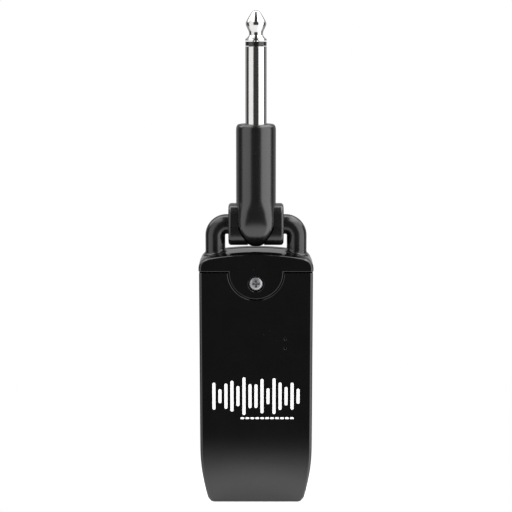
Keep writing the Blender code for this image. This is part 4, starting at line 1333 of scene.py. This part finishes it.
@dataclass
class Studio:
    """The floor, the light round the object and the camera; lengths in metres."""

    aim: Point = (0.0, 0.0, 0.07613)
    distance: float = 0.405
    elevation: float = 9.3
    lens: float = 93.65
    right: float = 2.6
    left: float = 1.45
    backdrop: float = 0.4
    strip: float = 3.6
    roof_left: float = 3.2
    roof_right: float = 5.0
    below: float = 1.5
    gloom: float = 0.07
    floor_glow: float = 0.65
    floor_spread: float = 0.024

    def camera(self) -> None:
        """Put the camera in front, a little above."""
        data = bpy.data.cameras.new("studio_camera")
        data.lens = self.lens
        data.sensor_width = 36.0
        data.clip_start = 0.01
        camera = bpy.data.objects.new("studio_camera", data)
        bpy.context.scene.collection.objects.link(camera)
        rise = math.radians(self.elevation)
        away = Vector((0, -math.cos(rise), math.sin(rise)))
        camera.location = Vector(self.aim) + self.distance * away
        camera.rotation_euler = (math.pi / 2 - rise, 0, 0)
        bpy.context.scene.camera = camera
        bpy.context.scene.view_settings.view_transform = "Standard"

    def light(self) -> None:
        """Light the object with side boxes, a backdrop, a strip, a split roof and a low glow."""
        world = bpy.data.worlds.new("studio_light")
        bpy.context.scene.world = world
        world.use_nodes = True
        graph = Graph(world.node_tree)
        x, y, z = graph.axes(graph.node("TexCoord", output="Generated"))
        turn = abs(x).math("ARCTAN2", -y) * DEGREES
        rise = z.math("ARCSINE") * DEGREES
        right = turn.rise(26.0, 34.0) * turn.rise(99.0, 91.0) * x.rise(0.0, 0.02) * self.right
        left = turn.rise(26.0, 34.0) * turn.rise(90.0, 82.0) * x.rise(0.0, -0.02) * self.left
        sides = (left + right) * rise.rise(66.0, 56.0)
        back = turn.rise(112.0, 130.0) * self.backdrop
        strip = y.rise(0.04, 0.18) * y.rise(0.62, 0.46) * z.rise(0.3, 0.5) * self.strip
        roof = x.rise(0.2, 0.34) * self.roof_right + x.rise(-0.2, -0.34) * self.roof_left
        over = z.rise(0.56, 0.78) * roof
        under = rise.rise(-23.0, -37.0) * self.below
        glow = sides.at_least(back).at_least(strip).at_least(over).at_least(under) + self.gloom
        studio = graph.node("Background", inputs={"Color": WHITE, "Strength": glow})
        seen = graph.node("Background", inputs={"Color": WHITE, "Strength": 1.0})
        direct = graph.node("LightPath", output="Is Camera Ray")
        both = graph.node("MixShader", inputs={0: direct, 1: studio, 2: seen})
        graph.node("OutputWorld", inputs={"Surface": both})

    def floor(self) -> None:
        """Lay a pale floor that melts into the backdrop."""
        bm = bmesh.new()
        bmesh.ops.create_circle(bm, cap_ends=True, segments=96, radius=0.4)
        floor = to_scene(bm, "floor")
        material = bpy.data.materials.new("pale_floor")
        material.use_nodes = True
        graph = Graph(material.node_tree)
        place = graph.place()
        x, y, _ = graph.axes(place)
        away = (x * x + y * y).math("SQRT") / self.floor_spread
        tone = graph.mix(graph.noise(place, 30.0), (0.9, 0.9, 0.895), (0.93, 0.93, 0.925))
        shader = graph.node("BsdfPrincipled", inputs={
            "Base Color": tone, "Roughness": 0.8, "Alpha": 1.0 / (1.0 + away ** 5.0),
            "Emission Color": WHITE, "Emission Strength": self.floor_glow})
        graph.node("OutputMaterial", inputs={"Surface": shader})
        floor.data.materials.append(material)

    def build(self) -> None:
        """Set up the camera, the light and the floor."""
        self.camera()
        self.light()
        self.floor()


def dress_inner_parts() -> None:
    """Give the CAD nodes that stay in view their finishes."""
    for finish, names in INNER_FINISHES.items():
        for name in names:
            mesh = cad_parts[name].data
            mesh.materials.clear()
            mesh.materials.append(finish.material())


def main() -> None:
    logging.basicConfig(level=logging.INFO, format="%(name)s: %(message)s")
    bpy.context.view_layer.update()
    Studio().build()
    Housing().build()
    Bracket().build()
    Knuckle().build()
    Plug().build()
    for side in (-1, 1):
        Button(side).build()
    dress_inner_parts()


if __name__ == "__main__":
    main()
